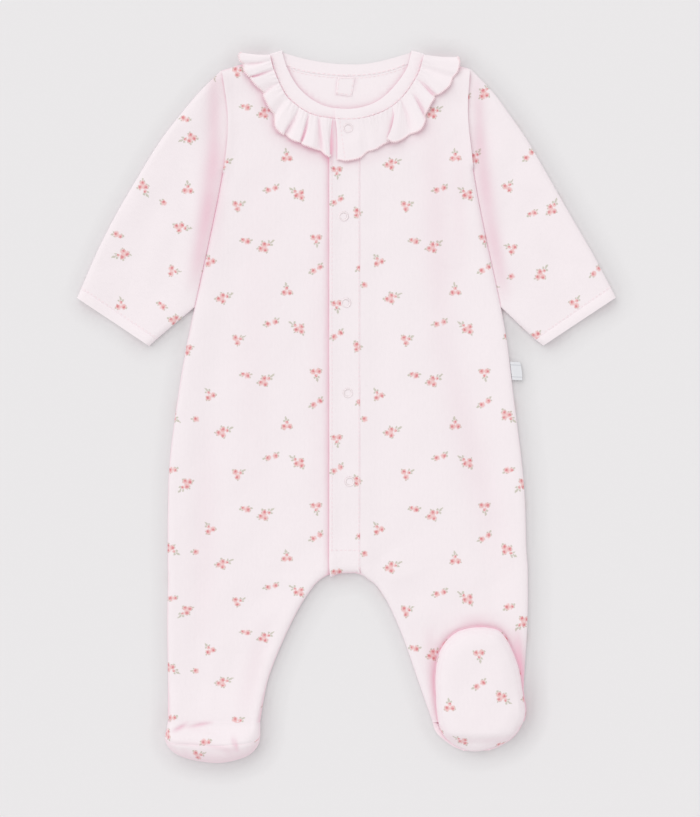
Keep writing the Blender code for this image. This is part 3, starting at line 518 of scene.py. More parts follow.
def make_front(side):
    start_x = LAP_EDGE if side == "left" else PLACKET_RIGHT + SEAM_GAP
    xy, paths, level = half_grid("front", side, start_x)
    ridge = RIDGE * np.exp(-((nearest(xy, [dense(ARMHOLES[side])]) / RIDGE_WIDTH) ** 2))
    points = np.dstack([xy, front_height(xy, nearest(xy, paths), side, extra=ridge)])
    if side == "right":
        by_placket = 1 - fade(xy[..., 0], PLACKET_RIGHT, PLACKET_RIGHT + RISE_REACH)
        by_crotch = 1 - fade(xy[..., 1], CROTCH_Y, CROTCH_Y + EDGE_ROLL)
        by_crotch = by_crotch * (1 - fade(nearest(xy, paths), 0, EDGE_ROLL))
        points[..., 1] -= (PLACKET_RISE + HEM_EASE) * by_placket * by_crotch
    cloth = flat_cloth(points, COLUMNS // 2, FRONT_PRINT)
    cloth[..., 1] += LEG_PRINT[side] * fade(-xy[..., 1], *LEG_PRINT_FROM)
    sew(f"front_{side}", "cloth", points, cloth, CLOTH, flip=side == "right", level=level)


for side in SIGN:
    make_front(side)

# %% [markdown]
# ## The back
#
# The back is one piece with both legs and one heel. It lies on the table, so it is
# flat but for its rolled edges, and a coarser grid does. Its two halves share the
# points down the centre, which are merged so that the wall is one closed piece.

# %% Back
HEEL_LAYERS = 2.6  # the folded foot's heel lies on the back as more layers
BACK_COLUMNS = 34


def make_back():
    halves, level, area, start = [], set(), 0.0, 0
    for side, heel in (("left", ()), ("right", RIGHT_HEEL)):
        xy, paths, folded = half_grid("back", side, columns=BACK_COLUMNS, heel=heel)
        points = np.dstack([xy, back_height(nearest(xy, paths))])
        quads = grid_quads(*xy.shape[:2], flip=side == "left")
        area += area_of(points.reshape(-1, 3), quads)
        below_ankle = (xy[..., 1] < ANKLE_Y - SEAM_GAP) & (xy[..., 0] > 0)
        cloth = flat_cloth(points, BACK_COLUMNS - 1) * (-1, 1)
        thickness = CLOTH + HEEL_LAYERS * below_ankle.reshape(-1, 1)
        halves.append((points.reshape(-1, 3), quads + start, cloth.reshape(-1, 2), thickness))
        level |= {start + index for index in folded}
        start += below_ankle.size
    points, quads, cloth, thickness = (np.vstack(parts) for parts in zip(*halves))
    _, first, merged = np.unique(np.round(points, 3), axis=0, return_index=True, return_inverse=True)
    merged = merged.reshape(-1)
    made = wall(points[first], merged[quads], quads, thickness[first], {int(merged[i]) for i in level})
    wear("back", "cloth", *made, cloth)


make_back()

# %% [markdown]
# ## Sleeves and cuffs
#
# A sleeve is a flat tube, one row round it after another from the cuff to the
# shoulder. Its outer edge and the free part of its inner edge are folds. The rest
# lies along the armhole seam. The print turns with the sleeve, because its cloth is
# cut along the arm, so its cloth map has an axis of its own.

# %% Sleeve tables
SLEEVES = {
    "left": {
        "outer": (
            (-199.1, 88.3), (-187.9, 114.4), (-174.4, 141.4), (-157.9, 169.9),
            (-139.9, 199.1), (-122.6, 221.6), (-110, 236.4), (-94, 252.2),
        ),
        "inner": ((-142.7, 50.5), (-128.6, 62.3)),
        "cuff": ((-202.1, 81.4), (-148.1, 45.4)),
        "axis": (0.5, 0.866),
        "print": (-124.9, 134.6),
    },
    "right": {
        "outer": (
            (198.4, 88.9), (184.9, 114.4), (169.3, 141.4), (153, 169.9),
            (136.1, 199.1), (120.6, 221.6), (109.4, 236.4), (93.2, 253.2),
        ),
        "inner": ((141.9, 50.1), (129, 62)),
        "cuff": ((202.1, 81.8), (147.8, 45.8)),
        "axis": (-0.5, 0.866),
        "print": (95.2, 186),
    },
}
SLEEVE_CORNER, SLEEVE_CORNER_Y = 0.27, 74.6  # where the sleeve meets the body's side
SLEEVE_TOP_COLUMNS, SLEEVE_UNDER_COLUMNS = 44, 26
BAND, CUFF_CROWN = 1.4, 0.55


def body_side(side):
    """The trunk's side edge from the sleeve's corner up to the armhole, moved out by the seam's gap."""
    sides, _, marks = half_body("back", side, 0.0)
    path = moved(sides[: marks["chest"] + 1], SIGN[side] * SEAM_GAP)
    start = (np.interp(SLEEVE_CORNER_Y, path[:, 1], path[:, 0]), SLEEVE_CORNER_Y)
    return np.vstack([start, path[path[:, 1] > SLEEVE_CORNER_Y + 1]])


def tube(top, below, distance_top, distance_below, extra=0.0):
    """Points of a flat tube: over the top, then back under it."""
    upper = np.dstack([top, front_height(top, distance_top, edge=SPLIT_HEIGHT, extra=extra)])
    lower = np.dstack([below, back_height(distance_below, edge=SPLIT_HEIGHT)])
    return np.concatenate([upper, lower[:, ::-1]], axis=1)


def sew_tube(solid, slot, side, points, thickness):
    """A tube of cloth, mapped along the sleeve."""
    shape = SLEEVES[side]
    cloth = flat_cloth(points, SLEEVE_TOP_COLUMNS // 2, shape["print"], shape["axis"], wrap=True)
    sew(solid, slot, points, cloth, thickness, wrap=True, flip=side == "right")


def sleeve_rows(side, columns, trim, rows):
    """Rows across one layer of a sleeve, from the cuff to the shoulder."""
    shape, body = SLEEVES[side], body_side(side)
    free = np.vstack([shape["inner"], body[0]])
    low = rows[rows < SLEEVE_CORNER] / SLEEVE_CORNER
    high = (rows[rows >= SLEEVE_CORNER] - SLEEVE_CORNER) / (1 - SLEEVE_CORNER)
    inner = np.vstack([along(free, low), along(body, high)])
    outer = along(dense(shape["outer"]), rows)
    armhole = moved(dense(ARMHOLES[side]), SIGN[side] * SEAM_GAP)
    armhole[-1], armhole[0] = outer[-1], inner[-1]
    grid = []
    for share, start, end in zip(rows, outer, inner):
        width = np.linalg.norm(end - start)
        steps = cross_steps(width, columns) / width
        bend = along(armhole[::-1], steps) - (outer[-1] + (inner[-1] - outer[-1]) * steps[:, None])
        grid.append(start + (end - start) * steps[:, None] + bend * max(0, 2 * share - 1) ** 2)
    edges = [dense(shape["outer"]), np.vstack([free[:-1], body])]
    return np.array(grid)[:, trim : columns - trim], edges


def make_sleeve(side):
    low = np.linspace(0, SLEEVE_CORNER, 24)[:-1]
    rows = np.concatenate([low, np.linspace(SLEEVE_CORNER, 1, 64)])
    top, edges = sleeve_rows(side, SLEEVE_TOP_COLUMNS, 0, rows)
    below, _ = sleeve_rows(side, SLEEVE_UNDER_COLUMNS, 1, rows)
    dip = DIP * np.exp(-((nearest(top, [body_side(side), dense(ARMHOLES[side])]) / DIP_WIDTH) ** 2))
    points = tube(top, below, nearest(top, edges), nearest(below, edges), extra=-dip)
    sew_tube(f"sleeve_{side}", "cloth", side, points, CLOTH)


def make_cuff(side):
    """A doubled band round the end of the sleeve, with a slight crown."""
    shape = SLEEVES[side]
    starts, ends = np.array((shape["outer"][0], shape["inner"][0])), np.array(shape["cuff"])
    shares = np.linspace(1, SEAM_GAP / np.linalg.norm(ends[0] - starts[0]), 10)
    layers = []
    for columns, trim in ((SLEEVE_TOP_COLUMNS, 0), (SLEEVE_UNDER_COLUMNS, 1)):
        kept = slice(trim, columns - trim)
        outer, inner = (starts[k] + (ends[k] - starts[k]) * shares[:, None] for k in (0, 1))
        width = np.linalg.norm(inner - outer, axis=1)
        steps = np.array([cross_steps(size, columns) for size in width])[:, kept]
        xy = outer[:, None] + (inner - outer)[:, None] * (steps / width[:, None])[..., None]
        layers.append((xy, np.minimum(steps, width[:, None] - steps)))
    (top, top_distance), (below, below_distance) = layers
    points = tube(top, below, top_distance, below_distance)
    crown = CUFF_CROWN * np.sin(math.pi * np.linspace(0.04, 0.96, len(shares)))[:, None]
    points[:, :SLEEVE_TOP_COLUMNS, 2] += crown * turn(top_distance, EDGE_ROLL)
    sew_tube(f"cuff_{side}", "rib", side, points, BAND)


# %% Make the sleeves and cuffs
for side in SIGN:
    make_sleeve(side)
    make_cuff(side)

# %% [markdown]
# ## Neckband
#
# One strip of the same plain cloth binds the neck. It starts on the wearer's right
# front, goes round the back, where it is seen from the inside, and its two ends lap
# at the centre front. Here it is a row of stations along the seam, each with a
# lightly crowned section.

# %% Neckband
BAND_LAP = 8.4
BAND_HEIGHT = 4.2
BAND_TURN = np.array((0.0, 1.4))  # how far it stands out where it turns from front to back
BAND_CROWN = 0.45
FREE_EDGE = {
    "front": (
        (-48.4, 266), (-44.2, 253), (-36.6, 240), (-25.8, 230.2), (-14, 224.8), (0, 223.1),
        (12.6, 224.7), (25.2, 230.3), (36, 240.3), (45.1, 253.4), (48.8, 266),
    ),
    "back": (
        (-48.4, 266), (-33.4, 261.6), (-17, 258.4), (0, 257), (16, 257.6), (32, 261), (48.8, 266),
    ),
}


def band_part(panel, side, start_x=0.0, lap_x=0.0):
    """Stations from the centre to one shoulder: points on the seam, and the free edge beside each."""
    _, inners, marks = half_body(panel, side, start_x)
    seam = moved(inners[marks["neck"] :][:: SIGN[side]], -SEAM_GAP)[:: SIGN[side]]
    whole, free = dense(NECK[panel]), dense(FREE_EDGE[panel])
    laps = np.linspace(lap_x, start_x, 4)[:-1] if lap_x != start_x else []
    seam = np.vstack([(x, np.interp(x, whole[:, 0], whole[:, 1])) for x in laps] + [seam])
    start = int(np.interp(lap_x, free[:, 0], np.arange(len(free))))
    free = free[start:] if side == "right" else free[: start + 1][::-1]
    length = steps_along(seam)[-1]
    seam = curve(seam, np.linspace(0, len(seam) - 1, 4 * len(seam)))
    return seam, along(free, steps_along(seam) / length)


def make_neckband():
    seam, free = band_part("front", "right", PLACKET_RIGHT + SEAM_GAP, -BAND_LAP)
    lap = (BAND + SEAM_GAP) * (1 - fade(seam[:, 0], BAND_LAP + 1, BAND_LAP + 1 + RISE_REACH))
    stations = [(s, f, BAND_HEIGHT + up) for s, f, up in zip(seam, free, lap)]
    bends = np.radians(np.arange(15, 180, 15))
    over = [(BAND_TURN * math.sin(bend), BAND_HEIGHT * (0.5 + 0.5 * math.cos(bend))) for bend in bends]
    stations += [(seam[-1] + push, free[-1] + push, z) for push, z in over]
    seam, free = band_part("back", "right")
    stations += [(s, f, 0.0) for s, f in zip(seam[::-1], free[::-1])]
    seam, free = band_part("back", "left")
    stations += [(s, f, 0.0) for s, f in zip(seam[1:], free[1:])]
    seam, free = band_part("front", "left", LAP_EDGE, LAP_EDGE)
    stations += [(seam[-1] + push, free[-1] + push, z) for push, z in over[::-1]]
    stations += [(s, f, BAND_HEIGHT) for s, f in zip(seam[::-1], free[::-1])]
    seam, free, height = (np.array(part) for part in zip(*stations))
    shares = (1 - np.cos(np.linspace(0, math.pi, 11))) / 2
    xy = seam[:, None] + (free - seam)[:, None] * shares[:, None]
    crown = BAND_CROWN * fade(height, 0.5, BAND_HEIGHT)[:, None] * (np.sin(math.pi * shares) ** 0.6 - 0.4)
    points = np.dstack([xy, height[:, None] + crown])
    width = np.linalg.norm(free - seam, axis=1).mean()
    cloth = np.dstack(np.broadcast_arrays(steps_along((seam + free) / 2)[:, None], shares * width))
    sew("neckband", "rib", points, cloth, BAND, flip=True)


make_neckband()

# %% [markdown]
# ## Placket
#
# The placket is a folded strip down the centre front. It lies on both fronts, so
# its points are the front's own, moved out by one cloth and the seam's gap. At its
# foot it turns over the crotch.

# %% Placket
PLACKET_LIFT = 0.9  # its open edge stands a little off the front
PLACKET_ROLL = 0.35  # how far its pressed edges sink
PLACKET_PRINT = (-78.0, 132.4)  # the strip is cut from another part of the cloth


def make_placket():
    crotch, top = half_grid("front", "left", LAP_EDGE)[1][1], moved(dense(NECK["front"]), SEAM_GAP)
    across_x = PLACKET_LEFT + (PLACKET_RIGHT - PLACKET_LEFT) * (1 - np.cos(np.linspace(0, math.pi, 22))) / 2
    low, high = (np.interp(across_x, path[:, 0], path[:, 1]) for path in (crotch, top))
    turns = EDGE_ROLL * (1 - np.cos(np.radians(np.arange(0, 91, 11.25))))
    rows = [low + step for step in turns]
    rows += [low + (high - low) * share for share in np.linspace(0.02, 1, 160)]
    xy = np.dstack([np.tile(across_x, (len(rows), 1)), np.array(rows)])
    distance = nearest(xy, [crotch])
    distance[0] = 0
    under = np.dstack([xy, front_height(xy, distance)])
    normals = normals_of(under.reshape(-1, 3), grid_quads(*xy.shape[:2])).reshape(under.shape)
    normals[0, :, 2] = 0
    normals[0] /= np.linalg.norm(normals[0], axis=1)[:, None]
    rise = np.full(xy.shape[:2], PLACKET_RISE)
    rise[: len(turns)] += HEM_EASE
    from_left, from_right = xy[..., 0] - PLACKET_LEFT, PLACKET_RIGHT - xy[..., 0]
    rise -= PLACKET_ROLL * (1 - turn(np.minimum(from_left, from_right), 1.6))
    rise += PLACKET_LIFT * (1 - fade(from_left, 1.5, 9.0))
    points = under + normals * rise[..., None]
    cloth = flat_cloth(points, len(across_x) // 2, PLACKET_PRINT)
    sew("placket", "cloth", points, cloth, CLOTH - PLACKET_ROLL, level=range(len(across_x)))


make_placket()

# %% [markdown]
# ## The frill
#
# A frill is a straight strip, longer than the seam it is gathered into, so it stands
# in waves. Each wave here runs between two valleys on the neck seam. Its crest is
# round and its valleys are sharp, as gathered cloth falls, and a lean pushes it
# over to one side, so that some waves lap over the next. Small puckers die away
# from the gathering stitches. A sine wave all along would look machine made.

# %% Frill tables
FRILL = 0.9
FRILL_CLEAR = FRILL + SEAM_GAP + 0.25  # lowest top of the frill over what it lies on
FRILL_ROWS, WAVE_COLUMNS = 26, 26
CREST_FLATNESS = 6.0  # a high number leaves a broad crest and a narrow valley
PUCKER, PUCKER_LENGTH = 0.55, 3.4
SCALLOP = 2.0  # how far the crests of the free edge stand out past its valleys
FRILL_PRINT_LENGTH = 1.5  # how much longer the strip is than its seam
FIRST_SNAP, SNAP_RADIUS = (1.2, 208.5), 3.9
# roots and ends: where each valley starts on the neck seam and ends on the free edge
# waves: height at the free edge, how far the crest leans, and how far it is drawn in
FRILLS = {
    "left": {
        "edge": (
            (-12.6, 187.4), (-24.5, 193.8), (-35, 198.2), (-46, 203.6), (-53, 210.4),
            (-55, 219.4), (-61.8, 233.6), (-69.4, 243.4), (-77.4, 255.2), (-79.9, 264.9),
        ),
        "roots": (0, 0.135, 0.24, 0.36, 0.54, 0.70, 0.83, 0.93, 1),
        "ends": (0, 0.07, 0.22, 0.34, 0.50, 0.68, 0.82, 0.92, 1),
        "waves": (
            (3, -1.5, 0), (3.6, 3, 0.5), (3, -2.4, 1), (3.6, -3.6, 0.5),
            (2.6, 2.6, 0), (2.6, 2.4, 0.5), (2.6, -2.2, 0.4), (2, 0.4, 0),
        ),
        "start_x": -10.6,
    },
    "right": {
        "edge": (
            (-6.4, 184.1), (8, 186.8), (16.5, 190.6), (28.1, 198), (38, 200.6), (46.6, 203),
            (55.1, 208.6), (58.9, 217.1), (61.9, 226.1), (67.1, 233.4), (74.6, 239.6),
            (80.6, 246.9), (84.6, 261.4),
        ),
        "roots": (0, 0.22, 0.50, 0.60, 0.70, 0.80, 0.90, 1),
        "ends": (0, 0.18, 0.36, 0.45, 0.60, 0.73, 0.88, 1),
        "waves": (
            (1.2, 0.3, 0), (1.5, 0.4, 0), (4.4, -11, 6.5), (3.8, 2, 0),
            (3.2, 2.6, 0.5), (2.8, -2.2, 0.5), (2.2, 0.5, 0),
        ),
        "start_x": -8.2,
    },
}


def frill_surface(side):
    """The frill's points and its cloth map."""
    shape = FRILLS[side]
    waves = len(shape["waves"])
    step = np.arange(WAVE_COLUMNS) / WAVE_COLUMNS
    wave = np.append(np.repeat(np.arange(waves), WAVE_COLUMNS), waves - 1)
    place = np.append(np.tile(step, waves), 1.0)
    rise, lean, draw = np.array(shape["waves"])[wave].T
    valleys = np.arange(waves + 1)
    share, end_share = (np.interp(wave + place, valleys, shape[name]) for name in ("roots", "ends"))
    root = along(neck_seam("front", side, shape["start_x"]), share)
    edge = along(dense(shape["edge"]), end_share)
    depth = np.linalg.norm(edge - root, axis=1)
    run = np.gradient((root + edge) / 2, axis=0)
    run /= np.linalg.norm(run, axis=1)[:, None]
    out = np.linspace(0, 1, FRILL_ROWS)[:, None]
    crest = 1 - np.abs(np.cos(math.pi * place)) ** CREST_FLATNESS
    sway = lean * crest * out**1.4 + 0.5 * np.sin(9 * share + 4 * out)
    drawn = 1 - (draw * crest * (1 - place) + SCALLOP * (0.5 - crest)) * out / depth
    xy = root + (edge - root) * (out * drawn)[..., None] + run * sway[..., None]
    _, paths, _ = half_grid("back", side)
    support = front_height(xy, np.maximum(nearest(xy, paths), EDGE_ROLL), side)
    if side == "left":
        support += PLACKET_RISE * fade(xy[..., 0], PLACKET_LEFT - 9, PLACKET_LEFT - 2)
    calm = fade(np.linalg.norm(xy - np.array(FIRST_SNAP), axis=-1), SNAP_RADIUS, 3.4 * SNAP_RADIUS)
    lift = calm * crest * (0.9 + (rise - 0.9) * np.sin(out * math.pi / 2) ** 1.1)
    length = steps_along(root)
    pucker = np.abs(np.sin(math.pi * (length + 0.9 * np.sin(length / 4)) / PUCKER_LENGTH))
    lift += PUCKER * pucker * (1 - fade(out, 0.05, 0.5)) * calm
    points = np.dstack([xy, support + FRILL_CLEAR + lift])
    along_print = length * FRILL_PRINT_LENGTH * -SIGN[side]
    return points, np.dstack(np.broadcast_arrays(along_print, -out * depth.mean()))


def make_frill(side):
    points, cloth = frill_surface(side)
    deep = np.linalg.norm(np.diff(points, axis=0), axis=2).sum(axis=0).max()
    flat = (steps_along(points[-1])[-1], deep)
    sew(f"ruffle_{side}", "frill", points, cloth, FRILL, held="gathered", flat=flat, flip=side == "right")


for side in SIGN:
    make_frill(side)

# %% [markdown]
# ## The feet
#
# The wearer's right foot hangs over the end of its leg: an upper on top, and a sole
# that wraps the toe. The other foot is folded up over its leg, so its whole sole
# faces up, crowned over the layers inside. Seams show as a shallow groove between
# two soft ridges.

# %% Foot sizes
FOOT_HEIGHT, FOOT_SIDE_ROLL = 16.0, 14.0
FOOT_RISE = 0.55  # share of the way from the ankle to the toe where the foot is that high
HAIR = 0.02  # as close as two pressed edges lie
TOE_SEAM, SEAM_ENDS = 0.54, 0.93  # share of the way from the ankle to the toe, at its middle and its ends
SOLE_CROWN, SOLE_ROLL = 9.5, 15.0
SOLE_BASE, HEEL_BASE, HEEL_DROP_Y = 8.2, 3.2, (-252.0, -243.0)
RIM_BASE, RIM_ROLL, RIM_DROP_Y = 4.3, 6.0, (-239.4, -236.6)
PAD_BASE, PAD_DROP, PAD_SHOW, PAD_EASE, PAD_END_Y = 6.3, 1.3, 0.9, 1.0, -236.0
LEFT_TOE = (
    (-136.5, -248.6), (-133.6, -255.4), (-126.6, -261.3), (-113, -265.6), (-96, -267.4),
    (-81.4, -264.8), (-71.6, -260.4), (-66, -253.4), (-64.6, -246.4),
)
RIGHT_SOLE = (
    (103.1, -165), (112.9, -167), (118.9, -172.9), (124.1, -182.6), (129.1, -196.9), (131.9, -214.1),
    (133.8, -229.1), (129, -242.4), (120.4, -251.2), (106.9, -256.9), (93.7, -258.6), (80.3, -253.5),
    (71.1, -243.9), (67.9, -230.6), (66.8, -216.4), (66.6, -200.9), (68.4, -187.5), (73.4, -177),
    (82.1, -169), (92.6, -165.6),
)
FOOT_PRINTS = {"upper": (-67.6, -221.5), "sole": (-122.4, 24.0)}  # where the print starts
# creases of the foot: x0, y0, x1, y1, width, height
FOOT_CREASES = (
    (-129.4, -242.4, -120, -238, 1.2, -0.9), (-118, -239.6, -102, -236.9, 1, -0.7),
    (-84.5, -247.5, -81.6, -255.4, 1, -0.8), (-79, -247, -76.6, -252.8, 1.1, -0.6),
    (-118, -244, -96, -247.5, 3, 0.7), (-92, -256, -84, -262, 2, -0.6),
    (-122, -254, -118, -262, 2, -0.5),
)


def seam_form(distance):
    """Height beside a seam: a narrow groove, then a soft ridge."""
    return 0.22 * np.exp(-(((distance - 1.9) / 1.4) ** 2)) - 0.3 * np.exp(-((distance / 0.7) ** 2))


# %% Left foot
def make_left_foot():
    share = np.unique(np.concatenate([(1 - np.cos(np.linspace(0, math.pi, 54))) / 2, [0.01, 0.99]]))
    toe_path = dense(LEFT_TOE)
    toe = along(toe_path, share)
    ankle_x = np.interp(share, (0, 1), (LEFT_LEG[0][0], LEFT_LEG[0][2]))
    ankle = np.column_stack([ankle_x, np.full(len(share), ANKLE_Y - HAIR)])
    edges = [toe_path, np.array([ankle[0], toe[0]]), np.array([ankle[-1], toe[-1]])]
    seam = TOE_SEAM + (SEAM_ENDS - TOE_SEAM) * (1 - np.sin(math.pi * share)) ** 2
    length = np.linalg.norm(toe - ankle, axis=1)
    edge = SPLIT_HEIGHT + SEAM_GAP / 2
    columns = len(share)

    def top(reach):
        xy = ankle + (toe - ankle) * reach[..., None]
        distance = nearest(xy, edges)
        rise = fade(reach, 0, FOOT_RISE)
        full = edge + (FOOT_HEIGHT - edge) * turn(distance, FOOT_SIDE_ROLL)
        height = (1 - rise) * front_height(xy, distance, edge=edge) + rise * full
        marks = creased(xy, FOOT_CREASES) + seam_form(np.abs(reach - seam) * length)
        return np.dstack([xy, height + turn(distance, EDGE_ROLL) * marks])

    def side_points(points):
        return {row * columns + column for row in range(len(points)) for column in (0, columns - 1)}

    upper = top(seam * np.linspace(0, 1, 30)[:, None])[::-1]
    cloth = flat_cloth(upper, columns // 2, FOOT_PRINTS["upper"])
    sew("foot_upper_left", "cloth", upper, cloth, CLOTH, level=side_points(upper))

    gap = HAIR / length
    away = np.concatenate([np.linspace(0, 0.9, 20), [0.94, 0.97, 0.985]])[:, None]
    face = top(seam + gap + (1 - seam - gap) * away)
    back = 1 - np.array([0, 0.3, 0.7, 1.5, 2.5, 3.7, 5.0])[:, None] / length
    back = np.vstack([back, back[-1] * np.linspace(0.84, 0, 8)[:, None]])
    xy = ankle + (toe - ankle) * back[..., None]
    height = back_height(nearest(xy, edges))
    height[0] = SPLIT_HEIGHT
    points = np.concatenate([face, np.dstack([xy, height])])[::-1]
    run = np.linalg.norm(np.diff(points, axis=0), axis=2)[:, columns // 4 : -columns // 4].mean(axis=1)
    down = np.cumsum(np.append(0, run))[:, None]
    cloth = np.dstack(np.broadcast_arrays(points[..., 0], down - down[-1])) - FOOT_PRINTS["sole"]
    sew("sole_left", "sole", points, cloth, CLOTH, held="folded", level=side_points(points))


make_left_foot()


# %% Right foot
SOLE_POINTS = 120
SOLE_PRINT = (28.1, -128.2)
SOLE_SEAM_IN = 3.4  # how far in from the outline the sole's seam lies
# dents and creases of the sole
SOLE_CREASES = (
    (72, -236, 78, -250, 2.2, -0.9), (128, -216, 131, -232, 3, 0.8), (76, -200, 92, -238, 9, -0.7),
    (112, -196, 106, -240, 12, 0.5), (80, -246, 112, -250, 6, 0.5), (88, -172, 110, -178, 7, 0.4),
)


def disc(outline, shares):
    """Rings from an outline to its middle, as corners of triangles doubled up into quads."""
    centre, count = outline.mean(axis=0), len(outline)
    xy = np.vstack([centre + (outline - centre) * (1 - share) for share in shares] + [centre[None]])
    last, ring = (len(shares) - 1) * count, np.arange(0, count, 2)
    hub = np.full(len(ring), len(xy) - 1)
    middle = np.column_stack([last + ring, last + ring + 1, last + (ring + 2) % count, hub])
    return xy, np.vstack([grid_quads(len(shares), count, wrap=True), middle])


def domed_cloth(points, count):
    """Lays a disc's rings flat, as far from the middle as the cloth is long."""
    middle, rings = points[-1], points[:-1].reshape(-1, count, 3)
    spokes = np.concatenate([rings, np.broadcast_to(middle, (1, count, 3))])
    reach = np.linalg.norm(np.diff(spokes, axis=0), axis=2)[::-1].cumsum(axis=0)[::-1]
    run = rings[..., :2] - middle[:2]
    run *= (reach / np.linalg.norm(run, axis=2))[..., None]
    return np.vstack([run.reshape(-1, 2), (0, 0)]) + middle[:2]


def sole_base(y):
    return HEEL_BASE + (SOLE_BASE - HEEL_BASE) * fade(y, *HEEL_DROP_Y)


def sole_rim(y):
    """Height of the sole's rim, which meets the back past the end of the leg."""
    return np.minimum(sole_base(y), RIM_BASE + (SOLE_BASE - RIM_BASE) * fade(y, *RIM_DROP_Y))


def make_right_foot():
    closed = dense(RIGHT_SOLE + RIGHT_SOLE[:1])
    outline = along(closed, np.linspace(0, 1, SOLE_POINTS + 1))[:-1][::-1]
    near_edge = (1 - np.cos(np.linspace(0, math.pi / 2, 16)))[:-1] * 0.4
    xy, quads = disc(outline, np.concatenate([near_edge, np.linspace(0.4, 0.96, 18)]))
    distance, base = nearest(xy, [closed]), sole_base(xy[:, 1])
    distance[: len(outline)] = 0
    dome = SOLE_CROWN + creased(xy, SOLE_CREASES) + 0.25 * np.sin(xy[:, 0] / 6) * np.sin(xy[:, 1] / 8)
    height = base + dome * turn(distance, SOLE_ROLL)
    height -= (base - sole_rim(xy[:, 1])) * (1 - turn(distance, RIM_ROLL))
    height += 0.7 * seam_form(np.abs(distance - SOLE_SEAM_IN)) * fade(distance, 0.5, 2)
    points = np.column_stack([xy, height])
    cloth = domed_cloth(points, len(outline)) - SOLE_PRINT
    wear("sole_right", "sole", *wall(points, quads, quads, CLOTH, range(len(outline))), cloth)

    rim = outline.copy()
    away = rim - rim.mean(axis=0)
    rim += away / np.linalg.norm(away, axis=1)[:, None] * PAD_SHOW
    rim[:, 1] = np.maximum(rim[:, 1], PAD_END_Y)
    xy, quads = disc(rim, (0, 0.02, 0.05, 0.09, 0.14, 0.2, 0.27, 0.4, 0.55, 0.75, 0.95))
    inside = np.clip(nearest(xy, [closed]) - CLOTH - PAD_EASE, 0, None)
    inside[: len(rim)] = 0
    top = sole_base(xy[:, 1]) - PAD_DROP + (SOLE_CROWN - CLOTH) * turn(inside, SOLE_ROLL - CLOTH)
    under = np.column_stack([xy, np.full(len(xy), PAD_BASE)])
    under[: len(rim), :2] -= away * 0.02
    points = np.vstack([np.column_stack([xy, top]), under])
    ring, count = np.arange(len(rim)), len(xy)
    after = (ring + 1) % len(rim)
    side_quads = np.column_stack([after, ring, ring + count, after + count])
    quads = np.vstack([quads, quads[:, ::-1] + count, side_quads])
    pad = wear("foot_upper_right", "cloth", points, quads, quads, len(quads), points[:, :2])


make_right_foot()

# %% [markdown]
# ## Labels
#
# A small patch of the suit's own cloth is stitched inside the back neck, and a bare
# loop of woven tape is caught in the side seam. Both are left blank.

# %% Labels
TAG_LENGTH, TAG_WIDTH, TAG_HEIGHT, TAG_DROOP, TAG_CLOTH = 7.6, 13.7, 3.4, 0.8, 1.0
TAG_ROOT = ((122.7, 33.6), (124.3, 20.0))
LABEL_CORNERS = ((-7.9, 234.4), (3.9, 232.9), (-6.4, 247.6), (6.4, 247.6))
LABEL_TOP, LABEL_PUFF, LABEL_CLOTH = SEAM_GAP + 2.2, 0.45, 0.6


def make_labels():
    near, far = np.array(TAG_ROOT)
    share, up = np.linspace(0, 1, 14), np.linspace(0, 1, 12)[:, None]
    length = TAG_LENGTH + 0.5 * np.sin(math.pi * up)
    xy = far + (near - far) * up[..., None] + np.array((1.0, -0.04)) * (share * length)[..., None]
    points = np.dstack([xy, TAG_HEIGHT - TAG_DROOP * share**2 + 0.12 * np.sin(7 * share) + 0 * up])
    cloth = np.dstack(np.broadcast_arrays(share * TAG_LENGTH, up * TAG_WIDTH))
    sew("side_tag", "tag", points, cloth, TAG_CLOTH, held="folded")

    low, high = np.array(LABEL_CORNERS[:2]), np.array(LABEL_CORNERS[2:])
    share, up = np.linspace(0, 1, 16), np.linspace(0, 1, 18)[:, None]
    rows = [ends[0] + (ends[1] - ends[0]) * share[:, None] for ends in (low, high)]
    xy = rows[0] + (rows[1] - rows[0]) * up[..., None]
    puff = turn(np.minimum(share, 1 - share), 0.14) * turn(np.minimum(up, 1 - up), 0.12)
    points = np.dstack([xy, LABEL_TOP - LABEL_PUFF * (1 - puff)])
    sew("neck_label", "cloth", points, xy, LABEL_CLOTH)


make_labels()

# %% [markdown]
# ## Where the cloth is hollow
#
# In a fold or beside an edge the light goes from cloth to cloth many times, and
# through the thin cloth too, so the pink deepens there. A renderer follows only a
# part of that. So each point gets a number that says how much of the sky its
# surroundings hide, and the finish paints that much shade into the colour, as a
# deeper pink, and a painted glow into the deepest folds. Folds too shallow to model
# get painted shade from a table. The number comes from a map of the heights of the
# whole suit, which is quicker than asking every point. A second number says how far
# the cloth turns over, where a painted glow stands in for the light that comes
# through it.

# %% Height map
from mathutils.bvhtree import BVHTree

MAP_CELL = 1.0
MAP_MARGIN = 15.0


def suit_tree():
    """All the pieces as one tree that rays can be cast at, in metres."""
    points, faces = [], []
    for piece in PIECES.values():
        start = len(points)
        points += [tuple(vertex.co) for vertex in piece.data.vertices]
        faces += [[start + index for index in face.vertices] for face in piece.data.polygons]
    return BVHTree.FromPolygons(points, faces)


def drop(tree, x, y):
    """Height of the suit at a place, in millimetres, or 0 beside it."""
    hit = tree.ray_cast((x * MM, y * MM, 0.1), (0, 0, -1))[0]
    return hit.z / MM if hit else 0.0


SUIT = suit_tree()
corners = np.array(SOLID_BOX)[:, :2] / MM + [[-MAP_MARGIN], [MAP_MARGIN]]
MAP_X, MAP_Y = (np.arange(corners[0, k], corners[1, k], MAP_CELL) for k in (0, 1))
HEIGHTS = np.array([[drop(SUIT, x, y) for y in MAP_Y] for x in MAP_X])
print("height map:", HEIGHTS.shape, "cells, up to", round(float(HEIGHTS.max()), 1), "mm")

